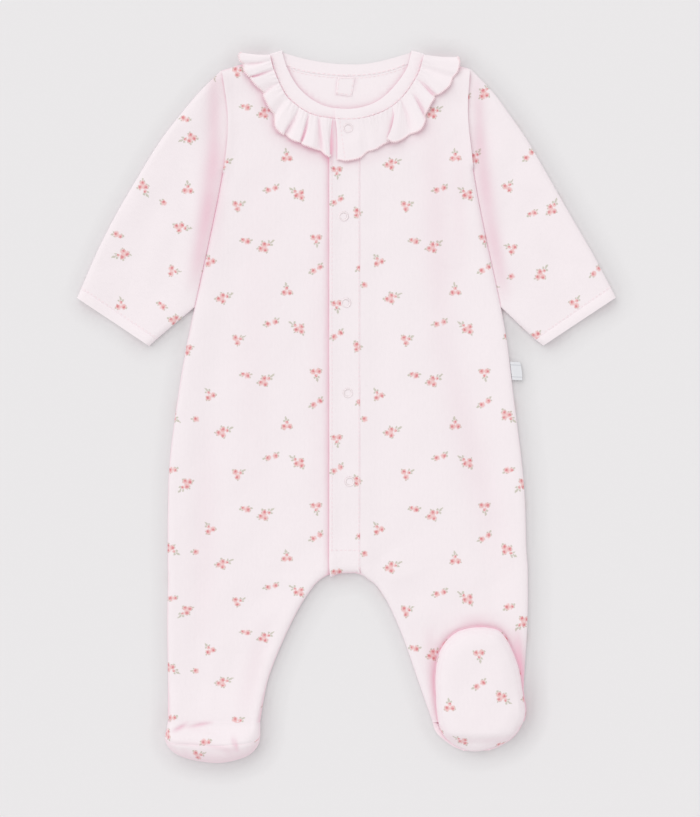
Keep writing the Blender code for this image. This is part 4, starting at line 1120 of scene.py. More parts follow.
# %% Hollows
LOOK_WAYS, LOOK_REACH = 16, (1.5, 3.0, 5.0, 8.0)
# how much of the sky may be hidden before the painted shade deepens the pink, and how fast
# it then does: for each finish, and for the pieces that differ from theirs
PAINTED_SHADE_ONSET = {
    "cloth": (0.12, 1.9), "sole": (0.2, 1.1), "rib": (0.36, 1), "frill": (0.28, 1.9), "tag": (1, 1),
    "back": (0.2, 1.1), "front_right": (0.18, 1.3), "sleeve_left": (0.34, 1.9), "sleeve_right": (0.34, 1.8),
    "foot_upper_left": (0.24, 1.0), "sole_left": (0.10, 1.0),
}
# the most painted shade that a hollow gets
DEEPEST_PAINTED_SHADE = 0.85
# cloth that faces down this far and lies this low gets no painted shade or glow, and stays pale
UNDERSIDE, UNDER_HEIGHT = (-0.7, -0.2), (0.8, 2.5)
# painted shade, a soft deeper pink, of folds too shallow to model: x0, y0, x1, y1, width, strength
PAINTED_FOLD_SHADES = (
    # on the sleeves, along the body
    (-99, 256, -100, 176, 5.5, 0.36), (-99.4, 194, -105, 136, 7, 0.42), (-103.5, 154, -114, 92, 6, 0.46),
    (98.5, 246, 100.5, 190, 4.5, 0.28), (99.5, 206, 104.5, 156, 6.2, 0.34),
    (103, 172, 110.5, 117, 6.5, 0.34), (109.5, 132, 118.5, 84, 5.5, 0.34),
    # down the fronts
    (64, 215, 72, 50, 11, 0.12), (72, 50, 114, -110, 12, 0.10), (84, 205, 86, 100, 6, 0.08),
    (-92, 195, -98, 110, 5, 0.08), (-66, 175, -72, -60, 13, 0.035), (-104, -20, -108, -170, 9, 0.07),
    (-22, 160, -21, -100, 7, 0.05), (-62, -165, -78, -232, 7, 0.08),
    (-15.2, 200, -15.2, -112, 2.4, 0.17),
    # round the frill, and between its two ends
    (-52, 203, -16, 184, 7, 0.12), (-70, 236, -52, 204, 5, 0.10), (-4, 182, 34, 192, 5, 0.12),
    (38, 194, 62, 212, 5, 0.12), (-10.4, 222, -11.4, 176, 1.6, 0.45),
    # beside the folded foot
    (62, -170, 68, -232, 4.5, 0.28), (128, -170, 132.5, -214, 4, 0.66), (84, -160.5, 108, -159, 4, 0.16),
    # creases of the other foot
    (-129.4, -242.4, -119.6, -237.4, 1.7, 0.55), (-118.6, -239.6, -101, -236.4, 1.6, 0.42),
    (-84.5, -247, -81.4, -256, 1.7, 0.50), (-134, -250, -100, -252.6, 2, 0.16),
    (-104, -252.4, -80, -256.8, 2, 0.20), (-126, -261, -72, -260, 6.5, 0.12),
)
SHADED = ("front", "sleeve", "placket", "foot_upper_left", "sole_left")


def height_at(x, y):
    column = np.clip(((x - MAP_X[0]) / MAP_CELL).round().astype(int), 0, len(MAP_X) - 1)
    row = np.clip(((y - MAP_Y[0]) / MAP_CELL).round().astype(int), 0, len(MAP_Y) - 1)
    return HEIGHTS[column, row]


def hollowness(points, reaches=LOOK_REACH):
    """The share of the sky that higher cloth hides from each point."""
    hidden = np.zeros(len(points))
    for way in np.arange(LOOK_WAYS) * 2 * math.pi / LOOK_WAYS:
        slope = np.zeros(len(points))
        for reach in reaches:
            over = height_at(points[:, 0] + reach * math.cos(way), points[:, 1] + reach * math.sin(way))
            slope = np.maximum(slope, (over - points[:, 2]) / reach)
        hidden += slope / np.sqrt(1 + slope**2) / LOOK_WAYS
    return hidden


def note(piece, name, values):
    """Keeps a number for each point of a piece."""
    layer = piece.data.attributes.new(name, "FLOAT", "POINT")
    layer.data.foreach_set("value", values.astype(np.float32))


for name, piece in PIECES.items():
    start, gain = PAINTED_SHADE_ONSET.get(name) or PAINTED_SHADE_ONSET[piece.data.materials[0].name]
    places, normals = (np.empty(3 * len(piece.data.vertices), np.float32) for _ in range(2))
    piece.data.vertices.foreach_get("co", places)
    piece.data.vertices.foreach_get("normal", normals)
    places, upward = places.reshape(-1, 3) / MM, normals.reshape(-1, 3)[:, 2]
    # painted shade, by how much of the sky is hidden, and from the table of painted fold shades
    deep = np.clip((hollowness(places) - start) * gain, 0, DEEPEST_PAINTED_SHADE)
    if name.startswith(SHADED):
        deep += creased(places[:, :2], PAINTED_FOLD_SHADES)
    seen = np.maximum(fade(upward, *UNDERSIDE), fade(places[:, 2], *UNDER_HEIGHT))
    note(piece, "hollow", deep * seen)
    # where the cloth turns over, the finish adds a painted glow
    note(piece, "turned", np.clip(1 - upward, 0, 1) ** 1.5 * seen)
print("hollows:", len(PIECES), "pieces")

# %% [markdown]
# ## Building node trees
#
# Sewing and finishes are both trees of nodes. A tree can be drawn by hand in an
# editor, or built in code, where the same step can be repeated from a table. Two
# helpers keep that short: one adds a node with its settings and inputs, and one
# starts a group with named sockets.


# %% Node helpers
def add(tree, kind, *inputs, **settings):
    """A node with its settings. Each input is (socket, value or link)."""
    made = tree.nodes.new(kind)
    for name, value in settings.items():
        setattr(made, name, value)
    for socket, value in inputs:
        if isinstance(value, bpy.types.NodeSocket):
            tree.links.new(value, made.inputs[socket])
        else:
            made.inputs[socket].default_value = value
    return made


def calc(tree, operation, *values, clamp=False):
    return add(tree, "ShaderNodeMath", *enumerate(values), operation=operation, use_clamp=clamp).outputs[0]


def vector(tree, operation, *values):
    made = add(tree, "ShaderNodeVectorMath", *enumerate(values), operation=operation)
    return made.outputs["Value" if operation == "LENGTH" else "Vector"]


def smooth(tree, value, start, end):
    """0 before `start` and 1 past `end`, with a soft step between."""
    inputs = [("Value", value), ("From Min", start), ("From Max", end)]
    return add(tree, "ShaderNodeMapRange", *inputs, interpolation_type="SMOOTHSTEP").outputs["Result"]


def mix(tree, share, first, second, blend="MIX"):
    """One colour laid over another."""
    inputs = (0, share), (6, first), (7, second)
    return add(tree, "ShaderNodeMix", *inputs, data_type="RGBA", blend_type=blend).outputs[2]


def split(tree, value):
    """The x, y and z of a vector."""
    return add(tree, "ShaderNodeSeparateXYZ", ("Vector", value)).outputs


def noise(tree, place, scale, detail=2.0, **more):
    inputs = [("Vector", place), ("Scale", scale), ("Detail", detail), *more.items()]
    return add(tree, "ShaderNodeTexNoise", *inputs).outputs


def noted(tree, name):
    """A number that each point of a piece keeps."""
    return add(tree, "ShaderNodeAttribute", attribute_name=name).outputs["Fac"]


def start_group(name, inputs, outputs, kind="ShaderNodeTree"):
    """A node group with named sockets, and the nodes that hold them."""
    tree = bpy.data.node_groups.new(name, kind)
    for way, wanted in (("INPUT", inputs), ("OUTPUT", outputs)):
        for socket, holds in wanted:
            tree.interface.new_socket(socket, in_out=way, socket_type=f"NodeSocket{holds}")
    return tree, tree.nodes.new("NodeGroupInput").outputs, tree.nodes.new("NodeGroupOutput").inputs


def sockets(kind, names):
    """Sockets of one kind, from their names."""
    return [(name, kind) for name in names.split()]


def place_group(tree, group, *inputs):
    return add(tree, "ShaderNodeGroup", *inputs, node_tree=group).outputs


print("node helpers ready")

# %% [markdown]
# ## Sewing and snaps
#
# A seam is a row of small stitches, all alike, along a line. Geometry Nodes suit
# that: one tree turns any line into thread, with its pitch and its sizes as inputs.
# The same tree whips the free edge of the frill, turned across it, and a second
# tree sets the ring snaps. Placing each by hand would be slow, and a bump map would
# not catch the light. Once a tree has run, its result is kept as a plain mesh.


# %% Stitch tree
def combine(tree, x=0.0, y=0.0, z=0.0):
    return add(tree, "ShaderNodeCombineXYZ", (0, x), (1, y), (2, z)).outputs[0]


def end_tree(tree, inputs, material, out):
    """Sets the instances, realizes them, shades them smooth and gives them their finish."""
    placed = add(tree, "GeometryNodeInstanceOnPoints", *inputs).outputs[0]
    real = add(tree, "GeometryNodeRealizeInstances", ("Geometry", placed)).outputs[0]
    soft = add(tree, "GeometryNodeSetShadeSmooth", ("Geometry", real)).outputs[0]
    done = add(tree, "GeometryNodeSetMaterial", ("Geometry", soft), ("Material", material)).outputs[0]
    tree.links.new(done, out["Geometry"])


def make_stitch_tree():
    inputs = [("Lines", "Geometry"), *sockets("Float", "Pitch Length Width Height Turn Uneven")]
    inputs += [("Seed", "Int"), ("Material", "Material")]
    tree, given, out = start_group("stitches", inputs, [("Geometry", "Geometry")], "GeometryNodeTree")
    line = add(tree, "GeometryNodeMeshToCurve", ("Mesh", given["Lines"])).outputs[0]
    inputs = [("Curve", line), ("Length", given["Pitch"])]
    places = add(tree, "GeometryNodeCurveToPoints", *inputs, mode="LENGTH").outputs
    chance = [(2, -1.0), (3, 1.0), ("Seed", given["Seed"])]
    chance = add(tree, "FunctionNodeRandomValue", *chance, data_type="FLOAT").outputs[1]
    uneven = calc(tree, "MULTIPLY", chance, given["Uneven"])
    ahead = add(tree, "FunctionNodeAlignRotationToVector", ("Vector", places["Tangent"]), axis="X").outputs[0]
    spin = combine(tree, z=calc(tree, "ADD", given["Turn"], uneven))
    spin = add(tree, "FunctionNodeEulerToRotation", ("Euler", spin)).outputs[0]
    inputs = [("Rotation", ahead), ("Rotate By", spin)]
    turned = add(tree, "FunctionNodeRotateRotation", *inputs, rotation_space="LOCAL").outputs[0]
    length = calc(tree, "MULTIPLY", given["Length"], calc(tree, "ADD", uneven, 1.0))
    size = combine(tree, length, given["Width"], given["Height"])
    inputs = [("Segments", 8), ("Rings", 5), ("Radius", 0.5)]
    stitch = add(tree, "GeometryNodeMeshUVSphere", *inputs).outputs["Mesh"]
    inputs = [("Points", places["Points"]), ("Instance", stitch), ("Rotation", turned), ("Scale", size)]
    end_tree(tree, inputs, given["Material"], out)
    return tree


STITCHES = make_stitch_tree()


# %% Snap tree
def make_snap_tree():
    """Rings with a section that rises to a soft rim."""
    inputs = [("Places", "Geometry"), *sockets("Float", "Outer Hole Height Rim"), ("Material", "Material")]
    tree, given, out = start_group("ring snaps", inputs, [("Geometry", "Geometry")], "GeometryNodeTree")
    half = calc(tree, "MULTIPLY", calc(tree, "SUBTRACT", given["Outer"], given["Hole"]), 0.5)
    middle = calc(tree, "MULTIPLY", calc(tree, "ADD", given["Outer"], given["Hole"]), 0.5)
    peak = combine(tree, given["Rim"], calc(tree, "MULTIPLY", given["Height"], -2.0))
    ends = combine(tree, calc(tree, "MULTIPLY", half, -1.0)), combine(tree, half)
    inputs = [("Resolution", 10), ("Start", ends[0]), ("Middle", peak), ("End", ends[1])]
    section = add(tree, "GeometryNodeCurveQuadraticBezier", *inputs).outputs[0]
    section = add(tree, "GeometryNodeSetSplineCyclic", ("Geometry", section), ("Cyclic", True)).outputs[0]
    circle = add(tree, "GeometryNodeCurvePrimitiveCircle", ("Resolution", 48), ("Radius", middle)).outputs[0]
    ring = add(tree, "GeometryNodeCurveToMesh", ("Curve", circle), ("Profile Curve", section)).outputs[0]
    end_tree(tree, [("Points", given["Places"]), ("Instance", ring)], given["Material"], out)
    return tree


SNAP_TREE = make_snap_tree()


# %% Run a tree
def laid(line, lift=0.0):
    """Points that lie on the suit, a little above it."""
    return [(x, y, drop(SUIT, x, y) + lift) for x, y in line]


def line_through(*points, step=1.5):
    """A polyline with a point every `step`."""
    return along(points, np.linspace(0, 1, int(steps_along(np.array(points, float))[-1] / step) + 2))


def grown(name, lines, tree, material, values, replaces=()):
    """What a tree makes of some lines, as one plain mesh."""
    points, edges = [], []
    for line in lines:
        edges += [(len(points) + k, len(points) + k + 1) for k in range(len(line) - 1)]
        points += [tuple(MM * float(value) for value in point) for point in line]
    mesh = bpy.data.meshes.new(name)
    mesh.from_pydata(points, edges, [])
    piece = link(name, mesh)
    modifier = piece.modifiers.new(name, "NODES")
    modifier.node_group = tree
    named = {item.name: item.identifier for item in tree.interface.items_tree if item.in_out == "INPUT"}
    for socket, value in {**values, "Material": finish(material)}.items():
        modifier[named[socket]] = value
    made = piece.evaluated_get(bpy.context.evaluated_depsgraph_get())
    piece.data = bpy.data.meshes.new_from_object(made)
    piece.modifiers.clear()
    piece.data.materials.clear()
    piece.data.materials.append(finish(material))
    piece.data.polygons.foreach_set("material_index", np.zeros(len(piece.data.polygons), np.int32))
    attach(piece, "root")
    if replaces:
        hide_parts(*replaces)
    print(name, len(piece.data.polygons), "faces")


def sizes(**lengths):
    """Inputs of a tree, from sizes in millimetres."""
    return {name: value * MM for name, value in lengths.items()}


# %% Snaps
SNAPS = (FIRST_SNAP, (-2.2, 142.5), (-0.4, 77.6), (1.1, 10.1), (2.3, -56.3))
RING = sizes(Outer=SNAP_RADIUS, Hole=2.2, Height=0.75, Rim=0.3)
names = [f"snap_{k + 1}" for k in range(len(SNAPS))]
grown("ring_snaps", [laid([place], -0.1) for place in SNAPS], SNAP_TREE, "snap", RING, names)

# %% Seams
STITCH = {**sizes(Pitch=3.2, Length=2.4, Width=0.6, Height=0.5), "Turn": 0.0, "Uneven": 0.1}
BAND_STITCH = {**STITCH, **sizes(Pitch=3.7, Length=2.7, Width=0.9, Height=0.55)}
LIFT = 0.05
HEM_Y = -107.6
ROW_LEFT, ROW_RIGHT, ROW_TOP = PLACKET_LEFT + 2.0, PLACKET_RIGHT - 1.0, 183.0


def neck_row(panel, shift, reach):
    """A row beside the neck seam, as far out as `reach`."""
    row = moved(dense(NECK[panel]), shift)
    return row[abs(row[:, 0]) < reach]


def sew_rows(name, rows, values, seed):
    grown(name, [laid(row, LIFT) for row in rows], STITCHES, "thread", {**values, "Seed": seed})


centre = np.mean(LABEL_CORNERS, axis=0)
label = [centre + 0.86 * (np.array(LABEL_CORNERS[k]) - centre) for k in (0, 1, 3, 2, 0)]
cuffs = [line_through(shape["outer"][0], shape["inner"][0]) for shape in SLEEVES.values()]
cloth_rows = [
    line_through((ROW_RIGHT, ROW_TOP), (ROW_RIGHT, -121.0)),
    line_through((ROW_LEFT, ROW_TOP), (ROW_LEFT, HEM_Y)),
    line_through((ROW_LEFT, HEM_Y), (ROW_RIGHT, HEM_Y)),
    neck_row("back", 1.4, 43),
    *(moved(cuff, sign) for cuff, sign in zip(cuffs, SIGN.values())),
    line_through(*label, step=1.0),
]
sew_rows("stitches", cloth_rows, STITCH, 3)
sew_rows("band_stitches", [neck_row("front", -0.9, 56), neck_row("back", -0.8, 43)], BAND_STITCH, 4)

# %% Frill edges
WHIP = {**sizes(Pitch=1.25, Length=2.5, Width=1.05, Height=1.5), "Turn": 1.25, "Uneven": 0.08, "Seed": 5}
edges = [frill_surface(side)[0][-1] - (0, 0, FRILL / 2) for side in SIGN]
grown("whipped_edges", edges, STITCHES, "thread", WHIP)
sew_rows("frill_hem", [line_through((-4.8, 213.0), (-1.4, 187.0))], STITCH, 7)

# %% [markdown]
# ## The print
#
# The cloth is strewn with small roses, alone, in pairs, in threes and in posies.
# The print repeats, so one chart holds it all: where each motif lies in the repeat,
# and which roses it is made of. An image would do this too, but a shader works at
# any size. For each point of the cloth it looks for the nearest rose of the chart,
# then draws that rose and its leaves from a distance and an angle.

# %% The chart of the print
REPEAT = (126.4, 100.5)
# a rose's place in its motif, the way its leaves point, its radius, its leaves' length
ROSES = {
    "posy": (
        (-2.3, -0.9, 175, 2.4, 2.2), (0.6, 1.5, 115, 2.6, 1.9),
        (0.7, -2.2, -70, 2.3, 1.5), (3.6, 1.2, 28, 1.5, 5),
    ),
    "three": ((-1.9, -1.3, 205, 2.5, 1.5), (1.9, -1, -25, 2.4, 1.4), (-0.3, 1.8, 100, 1.6, 4)),
    "two": ((-2.7, -0.7, 190, 2.4, 3.2), (2.4, 0.8, 45, 2.4, 2.8)),
    "one": ((0, 0, 120, 2.5, 2.8),),
    "bud pair": ((-1.0, 0.3, 195, 2.6, 2.6), (1.9, -0.6, 15, 1.9, 2.2)),
}
# x, y, turn, kind
MOTIFS = (
    (0, 0, 0, "posy"),
    (48.8, 5.3, 0, "three"),
    (37.5, -18.8, 0, "two"),
    (57.8, -23.3, 120, "posy"),
    (12, -31.5, -70, "three"),
    (18, -57.8, 180, "bud pair"),
    (31.5, -62.3, 10, "posy"),
    (-9, -72.8, 25, "three"),
    (-19.5, -90.8, 60, "one"),
    (70.5, -56.3, 180, "three"),
    (71.3, -78.8, 15, "two"),
    (87.4, -87.8, -60, "posy"),
    (-37.5, -28.5, 20, "bud pair"),
    (-26.3, -39, 200, "posy"),
)


def chart():
    """Every rose of the repeat: x, y, turn, radius, length of its leaves."""
    rows = []
    for x, y, turned, kind in MOTIFS:
        c, s = math.cos(math.radians(turned)), math.sin(math.radians(turned))
        for dx, dy, leaves, radius, length in ROSES[kind]:
            rows.append((x + c * dx - s * dy, y + s * dx + c * dy, turned + leaves, radius, length))
    return rows


print(len(MOTIFS), "motifs,", len(chart()), "roses in a repeat")

# %% The nearest rose
WAVER = 2.0 * MM  # how far the printed edges wander


def make_search():
    """Keeps the nearer of a rose and the nearest one so far."""
    kept = [("Distance", "Float"), *sockets("Vector", "Place Sizes")]
    inputs = [*sockets("Vector", "Cloth Centre"), ("Turn", "Float"), ("Size", "Vector")]
    tree, given, out = start_group("nearer rose", inputs + kept, kept)
    half = (REPEAT[0] * MM / 2, REPEAT[1] * MM / 2, 1.0)
    away = vector(tree, "SUBTRACT", given["Cloth"], given["Centre"])
    away = vector(tree, "WRAP", away, half, [-value for value in half])
    distance = vector(tree, "LENGTH", away)
    nearer = calc(tree, "LESS_THAN", distance, given["Distance"])
    inputs = [("Vector", away), ("Angle", given["Turn"])]
    spun = add(tree, "ShaderNodeVectorRotate", *inputs, rotation_type="Z_AXIS").outputs[0]
    for name, value in (("Place", spun), ("Sizes", given["Size"])):
        mixed = add(tree, "ShaderNodeMix", (0, nearer), (4, given[name]), (5, value), data_type="VECTOR")
        tree.links.new(mixed.outputs[1], out[name])
    tree.links.new(calc(tree, "MINIMUM", distance, given["Distance"]), out["Distance"])
    return tree


def make_print():
    """The colour of the printed cloth at a place on it."""
    inputs = [("Cloth", "Vector"), *sockets("Color", "Ground Petal Heart Leaf")]
    tree, given, out = start_group("rose print", inputs, [("Color", "Color")])
    search = make_search()
    waver = noise(tree, given["Cloth"], 700.0)["Color"]
    shift = vector(tree, "SCALE", vector(tree, "SUBTRACT", waver, (0.5, 0.5, 0.5)))
    shift.node.inputs["Scale"].default_value = WAVER
    cloth = vector(tree, "MULTIPLY", vector(tree, "ADD", given["Cloth"], shift), (1.0, 1.0, 0.0))
    kept = {"Distance": 1.0, "Place": (0, 0, 0), "Sizes": (1, 1, 0)}
    for x, y, turned, radius, length in chart():
        centre, size = (x * MM, y * MM, 0), (radius * MM, length * MM, 0)
        inputs = {"Cloth": cloth, "Centre": centre, "Turn": -math.radians(turned), "Size": size, **kept}
        found = place_group(tree, search, *inputs.items())
        kept = {name: found[name] for name in kept}
    draw_rose(tree, given, out, kept["Place"], kept["Sizes"])
    return tree


# %% One rose
PETALS, PETAL_DEPTH = 5, 0.08
HEART_PLACE = (0.45 * MM, -0.4 * MM, 0.0)
LEAF_SPREAD = math.radians(44)
LEAF_WIDTH, SIDE_LEAF = 0.8 * MM, 0.5


def draw_rose(tree, given, out, place, size):
    """Five petals round a heart, and three almond leaves that fan out to one side."""
    (x, y, _), (radius, length, _) = split(tree, place), split(tree, size)
    away, angle = vector(tree, "LENGTH", place), calc(tree, "ARCTAN2", y, x)
    lobes = calc(tree, "COSINE", calc(tree, "MULTIPLY", angle, PETALS))
    rim = calc(tree, "MULTIPLY", radius, calc(tree, "MULTIPLY_ADD", lobes, PETAL_DEPTH, 1.0))
    petals = calc(tree, "SUBTRACT", 1.0, smooth(tree, calc(tree, "DIVIDE", away, rim), 0.55, 1.1))
    inner = vector(tree, "LENGTH", vector(tree, "SUBTRACT", place, HEART_PLACE))
    heart = calc(tree, "SUBTRACT", 1.0, smooth(tree, calc(tree, "DIVIDE", inner, radius), 0.05, 0.68))
    side = calc(tree, "ROUND", calc(tree, "DIVIDE", angle, LEAF_SPREAD))
    side = calc(tree, "MAXIMUM", calc(tree, "MINIMUM", side, 1.0), -1.0)
    own = calc(tree, "SUBTRACT", angle, calc(tree, "MULTIPLY", side, LEAF_SPREAD))
    forward = calc(tree, "MULTIPLY", away, calc(tree, "COSINE", own))
    aside = calc(tree, "ABSOLUTE", calc(tree, "MULTIPLY", away, calc(tree, "SINE", own)))
    past_stem = calc(tree, "SUBTRACT", forward, calc(tree, "MULTIPLY", radius, 0.7))
    shorter = calc(tree, "MULTIPLY_ADD", calc(tree, "ABSOLUTE", side), SIDE_LEAF - 1, 1.0)
    share = calc(tree, "DIVIDE", past_stem, calc(tree, "MULTIPLY", length, shorter), clamp=True)
    almond = calc(tree, "MULTIPLY", share, calc(tree, "SUBTRACT", 1.0, share))
    width = calc(tree, "MULTIPLY", almond, 4 * LEAF_WIDTH)
    leaf = smooth(tree, calc(tree, "SUBTRACT", width, aside), -0.3 * MM, 0.35 * MM)
    leaf = calc(tree, "MULTIPLY", leaf, smooth(tree, almond, 0.0, 0.08))
    colour = given["Ground"]
    for mask, name, strength in ((leaf, "Leaf", 0.85), (petals, "Petal", 0.85), (heart, "Heart", 0.8)):
        colour = mix(tree, calc(tree, "MULTIPLY", mask, strength), colour, given[name])
    tree.links.new(colour, out["Color"])


PRINT = make_print()
print("the print group has", len(PRINT.nodes), "nodes")

# %% [markdown]
# ## The feel of the cloth
#
# All the cloth is fine cotton knit. Three things tell the eye so: tiny ribs that run
# up the cloth, a soft crumpling between the folds, and a faint unevenness of the
# dye. They are one group, so that every cloth finish shares them with values of its
# own. The ribs follow the cloth map, and the crumpling follows the object. The same
# group paints shade into the colour, in the hollows and a little in the ribs' loops,
# and lets the deepest folds and the turned edges glow with painted light.

# %% Knit
LOOP_HEIGHT = 0.035 * MM
COURSE, LOOP_SHADE, DYE = 0.45, 0.07, 0.24  # strengths: loops along a rib, loops in the colour, dye


def make_knit():
    inputs = [*sockets("Vector", "Cloth Place"), *sockets("Float", "Hollow Turned Rib Crumple")]
    inputs += sockets("Color", "Color Deep Glow Through Edge")
    outputs = [("Color", "Color"), ("Height", "Float"), ("Light", "Color")]
    tree, given, out = start_group("knit", inputs, outputs)
    x, y, _ = split(tree, given["Cloth"])
    turns = calc(tree, "DIVIDE", 2 * math.pi, given["Rib"])
    rib, row = (calc(tree, "COSINE", calc(tree, "MULTIPLY", value, turns)) for value in (x, y))
    loops = calc(tree, "MULTIPLY_ADD", row, calc(tree, "MULTIPLY", rib, COURSE), rib)
    crumple = noise(tree, given["Place"], 34.0, 3.0, Roughness=0.5, Distortion=0.5)["Fac"]
    height = calc(tree, "MULTIPLY", loops, LOOP_HEIGHT)
    height = calc(tree, "MULTIPLY_ADD", crumple, calc(tree, "MULTIPLY", given["Crumple"], MM), height)
    dye = calc(tree, "MULTIPLY", noise(tree, given["Place"], 420.0)["Fac"], DYE)
    # the loops' painted shade, together with the dye's uneven tone
    depth = calc(tree, "MULTIPLY_ADD", loops, LOOP_SHADE, dye, clamp=True)
    colour = mix(tree, depth, given["Color"], given["Deep"])
    # painted shade: the hollows are multiplied by a deeper pink
    colour = mix(tree, given["Hollow"], colour, given["Glow"], "MULTIPLY")
    # painted glow on the turned edges and in the deepest folds, which the finish emits
    light = mix(tree, given["Turned"], (0, 0, 0, 1), given["Edge"])
    light = mix(tree, calc(tree, "POWER", given["Hollow"], 2.5), light, given["Through"])
    for name, value in (("Color", colour), ("Height", height), ("Light", light)):
        tree.links.new(value, out[name])
    return tree


KNIT = make_knit()

# %% Cloth finishes
PINK = (0.835, 0.768, 0.79, 1)
# the deeper pinks: the colour of the loops' painted shade and of the uneven dye
PINK_DEEP = (0.81, 0.724, 0.751, 1)
PLAIN_PINK = (0.85, 0.783, 0.804, 1)
PLAIN_DEEP = (0.808, 0.715, 0.743, 1)
PETAL, HEART, LEAF = (0.78, 0.46, 0.455, 1), (0.62, 0.13, 0.155, 1), (0.52, 0.50, 0.41, 1)
# painted light: the first colour tints the hollows as painted shade, the other two are emitted as a painted
# glow
HOLLOW_SHADE_TINT = (0.77, 0.46, 0.56, 1)  # what the light turns into as it goes from cloth to cloth in a hollow
PAINTED_FOLD_GLOW = (0.24, 0.11, 0.145, 1)  # the light that comes through the cloth to the deepest folds
PAINTED_EDGE_GLOW = (0.17, 0.135, 0.148, 1)  # the light that comes through where the cloth turns over
RIB = 0.95 * MM
LOOKS = {
    "colour": "Base Color", "rough": "Roughness", "shine": "Specular IOR Level",
    "sheen": "Sheen Weight", "sheen_rough": "Sheen Roughness", "light": "Emission Strength",
}


def start_finish(name, **looks):
    """A material with plain values on its shader, and its tree."""
    material = finish(name)
    material.use_nodes = True
    shader = material.node_tree.nodes["Principled BSDF"]
    for look, value in looks.items():
        shader.inputs[LOOKS[look]].default_value = value
    return material.node_tree, shader.inputs


def cloth_finish(name, printed, crumple):
    tree, shader = start_finish(name, rough=0.9, shine=0.2, sheen=0.12, sheen_rough=0.5, light=1.0)
    cloth = add(tree, "ShaderNodeUVMap", uv_map="cloth").outputs[0]
    place = add(tree, "ShaderNodeTexCoord").outputs["Object"]
    grounds = (PINK, PINK_DEEP) if printed else (PLAIN_PINK, PLAIN_DEEP)
    if printed:
        colours = [("Cloth", cloth), ("Petal", PETAL), ("Heart", HEART), ("Leaf", LEAF)]
        grounds = [place_group(tree, PRINT, ("Ground", ground), *colours)["Color"] for ground in grounds]
    places = [("Cloth", cloth), ("Place", place)]
    places += [(name.title(), noted(tree, name)) for name in ("hollow", "turned")]
    looks = [("Rib", RIB), ("Crumple", crumple), ("Color", grounds[0]), ("Deep", grounds[1])]
    knit = place_group(tree, KNIT, *places, *looks, ("Glow", HOLLOW_SHADE_TINT), ("Through", PAINTED_FOLD_GLOW), ("Edge", PAINTED_EDGE_GLOW))
    tree.links.new(knit["Color"], shader["Base Color"])
    # the painted glow is emitted by the cloth
    tree.links.new(knit["Light"], shader["Emission Color"])
    relief = add(tree, "ShaderNodeBump", ("Height", knit["Height"]), ("Strength", 1.0), ("Distance", 1.0))
    tree.links.new(relief.outputs[0], shader["Normal"])
    print("finish:", name)


for name in ("cloth", "sole"):
    cloth_finish(name, printed=True, crumple=0.9)
for name, crumple in (("cloth_inside", 0.5), ("rib", 0.5), ("frill", 0.9)):
    cloth_finish(name, printed=False, crumple=crumple)

# %% Thread, snaps and tag
TAPE, STRIPE = (0.7, 0.705, 0.73, 1), (0.42, 0.43, 0.47, 1)


def tag_finish():
    """White woven tape with a thin grey stripe near each side."""
    tree, shader = start_finish("tag", rough=0.7, shine=0.3)
    up = split(tree, add(tree, "ShaderNodeUVMap", uv_map="cloth").outputs[0])["Y"]
    colour = TAPE
    for stripe in (2.3 * MM, 11.3 * MM):
        off = smooth(tree, calc(tree, "ABSOLUTE", calc(tree, "SUBTRACT", up, stripe)), 0.15 * MM, 0.45 * MM)
        colour = mix(tree, calc(tree, "MULTIPLY_ADD", off, -0.55, 0.55), colour, STRIPE)
    tree.links.new(colour, shader["Base Color"])


tag_finish()
start_finish("thread", colour=(0.87, 0.73, 0.755, 1), rough=0.6, shine=0.3)
start_finish("snap", colour=(0.80, 0.722, 0.737, 1), rough=0.4, shine=0.4)
print("finishes:", len(bpy.data.materials))


# %% Table finish
def table_finish():
    """A pale table, darker by the shade that its points keep."""
    tree, shader = start_finish("table", rough=0.95, shine=0.1)
    place = add(tree, "ShaderNodeTexCoord").outputs["Object"]
    colour = mix(tree, noise(tree, place, 900.0)["Fac"], (0.735, 0.721, 0.728, 1), (0.75, 0.736, 0.743, 1))
    tree.links.new(mix(tree, noted(tree, "shaded"), colour, (0, 0, 0, 1)), shader["Base Color"])


table_finish()
print("finishes:", len(bpy.data.materials))

# %% [markdown]
# ## Camera, table and light
#
# The suit is looked at from straight above, as a shop shows it. A long lens far away
# keeps its outline true. A wide soft lamp a little towards the neck, and a bright
# even surround, leave only soft shadows, so the folds show without hard lines. The
# wide shade round the suit is too weak for that light, so the table keeps it as a
# number for each point of a fine grid, found as the hollows of the cloth were.

# %% Camera
PIXEL = 0.75 * MM
IMAGE_SIZE, SUIT_CENTRE = (700, 817), (346.5, 406.5)
LENS, SENSOR = 100.0, 36.0


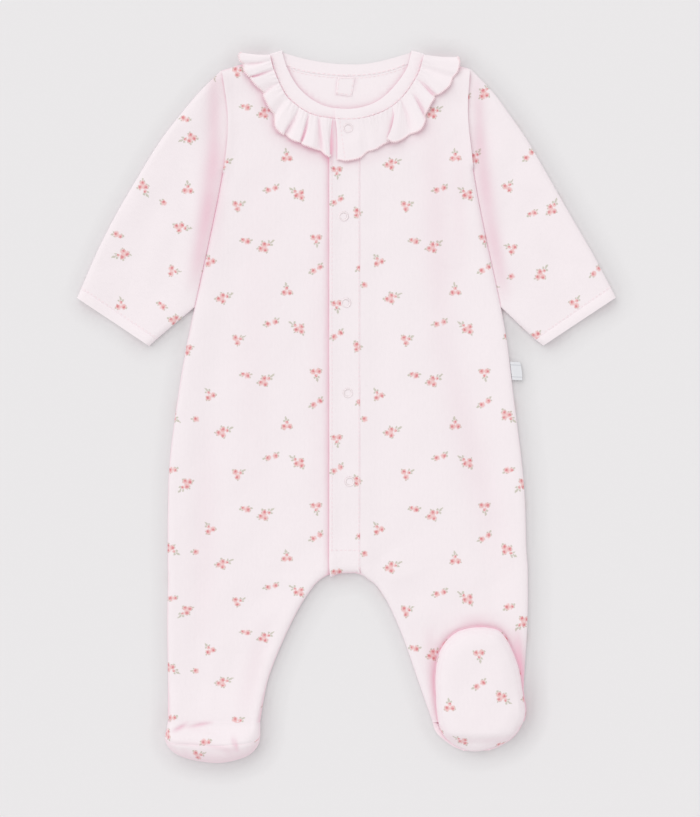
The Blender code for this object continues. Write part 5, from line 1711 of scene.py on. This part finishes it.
def make_camera():
    camera = bpy.data.cameras.new("camera")
    camera.lens, camera.sensor_width = LENS, SENSOR
    distance = max(IMAGE_SIZE) * PIXEL * LENS / SENSOR
    holder = link("camera", camera)
    centre = [(IMAGE_SIZE[k] / 2 - SUIT_CENTRE[k]) * PIXEL for k in (0, 1)]
    holder.location = (centre[0], -centre[1], distance + LAY_HEIGHT * MM)
    bpy.context.scene.camera = holder
    return distance


print(f"the camera is {make_camera():.2f} m away")


# %% Table and light
TABLE_STEP, TABLE_REACH, TABLE_TOP = 2.5, 3000, -0.3
SHADE_AREA = (225, 290)
SHADE_REACH, SHADE_SHIFT, SHADE_STRENGTH = (4.0, 7.0, 11.0, 16.0), (-3.0, 1.0), 0.38


def make_table():
    """A wide table, with a fine grid where the suit's soft shade falls."""
    mesh = bpy.data.meshes.new("table")
    fine = [np.arange(-reach, reach + 1, TABLE_STEP) for reach in SHADE_AREA]
    x, y = np.meshgrid(*(np.concatenate([[-TABLE_REACH], steps, [TABLE_REACH]]) for steps in fine))
    points = np.column_stack([x.ravel(), y.ravel(), np.full(x.size, TABLE_TOP)])
    mesh.from_pydata((points * MM).tolist(), [], grid_quads(*x.shape).tolist())
    mesh.materials.append(finish("table"))
    table = link("table", mesh)
    flat = points * (1, 1, 0)
    far = hollowness(flat + (*SHADE_SHIFT, 0), SHADE_REACH)
    near = np.clip(2.2 * hollowness(flat, LOOK_REACH[:3]), 0, 1)  # the lamp makes this part itself
    note(table, "shaded", far * (1 - near) * SHADE_STRENGTH)


def make_lamp(name, direction, softness, strength):
    """A wide, even light that shines from a direction."""
    lamp = bpy.data.lights.new(name, "SUN")
    lamp.angle, lamp.energy = softness, strength
    x, y, z = direction
    link(name, lamp).rotation_euler = (math.atan2(math.hypot(x, y), z), 0, math.atan2(x, -y))


LAMP_FROM, LAMP_SOFTNESS, LAMP_STRENGTH = (-0.42, 0.48, 1.0), math.radians(60), 0.9
SKY_STRENGTH = 0.87
make_table()
make_lamp("window", LAMP_FROM, LAMP_SOFTNESS, LAMP_STRENGTH)
world = bpy.data.worlds.new("studio")
world.use_nodes = True
sky = world.node_tree.nodes["Background"].inputs
sky["Color"].default_value, sky["Strength"].default_value = (1.0, 1.0, 1.0, 1), SKY_STRENGTH
bpy.context.scene.world = world
bpy.context.scene.view_settings.view_transform = "Standard"
print("lamps:", [light.name for light in bpy.data.lights])
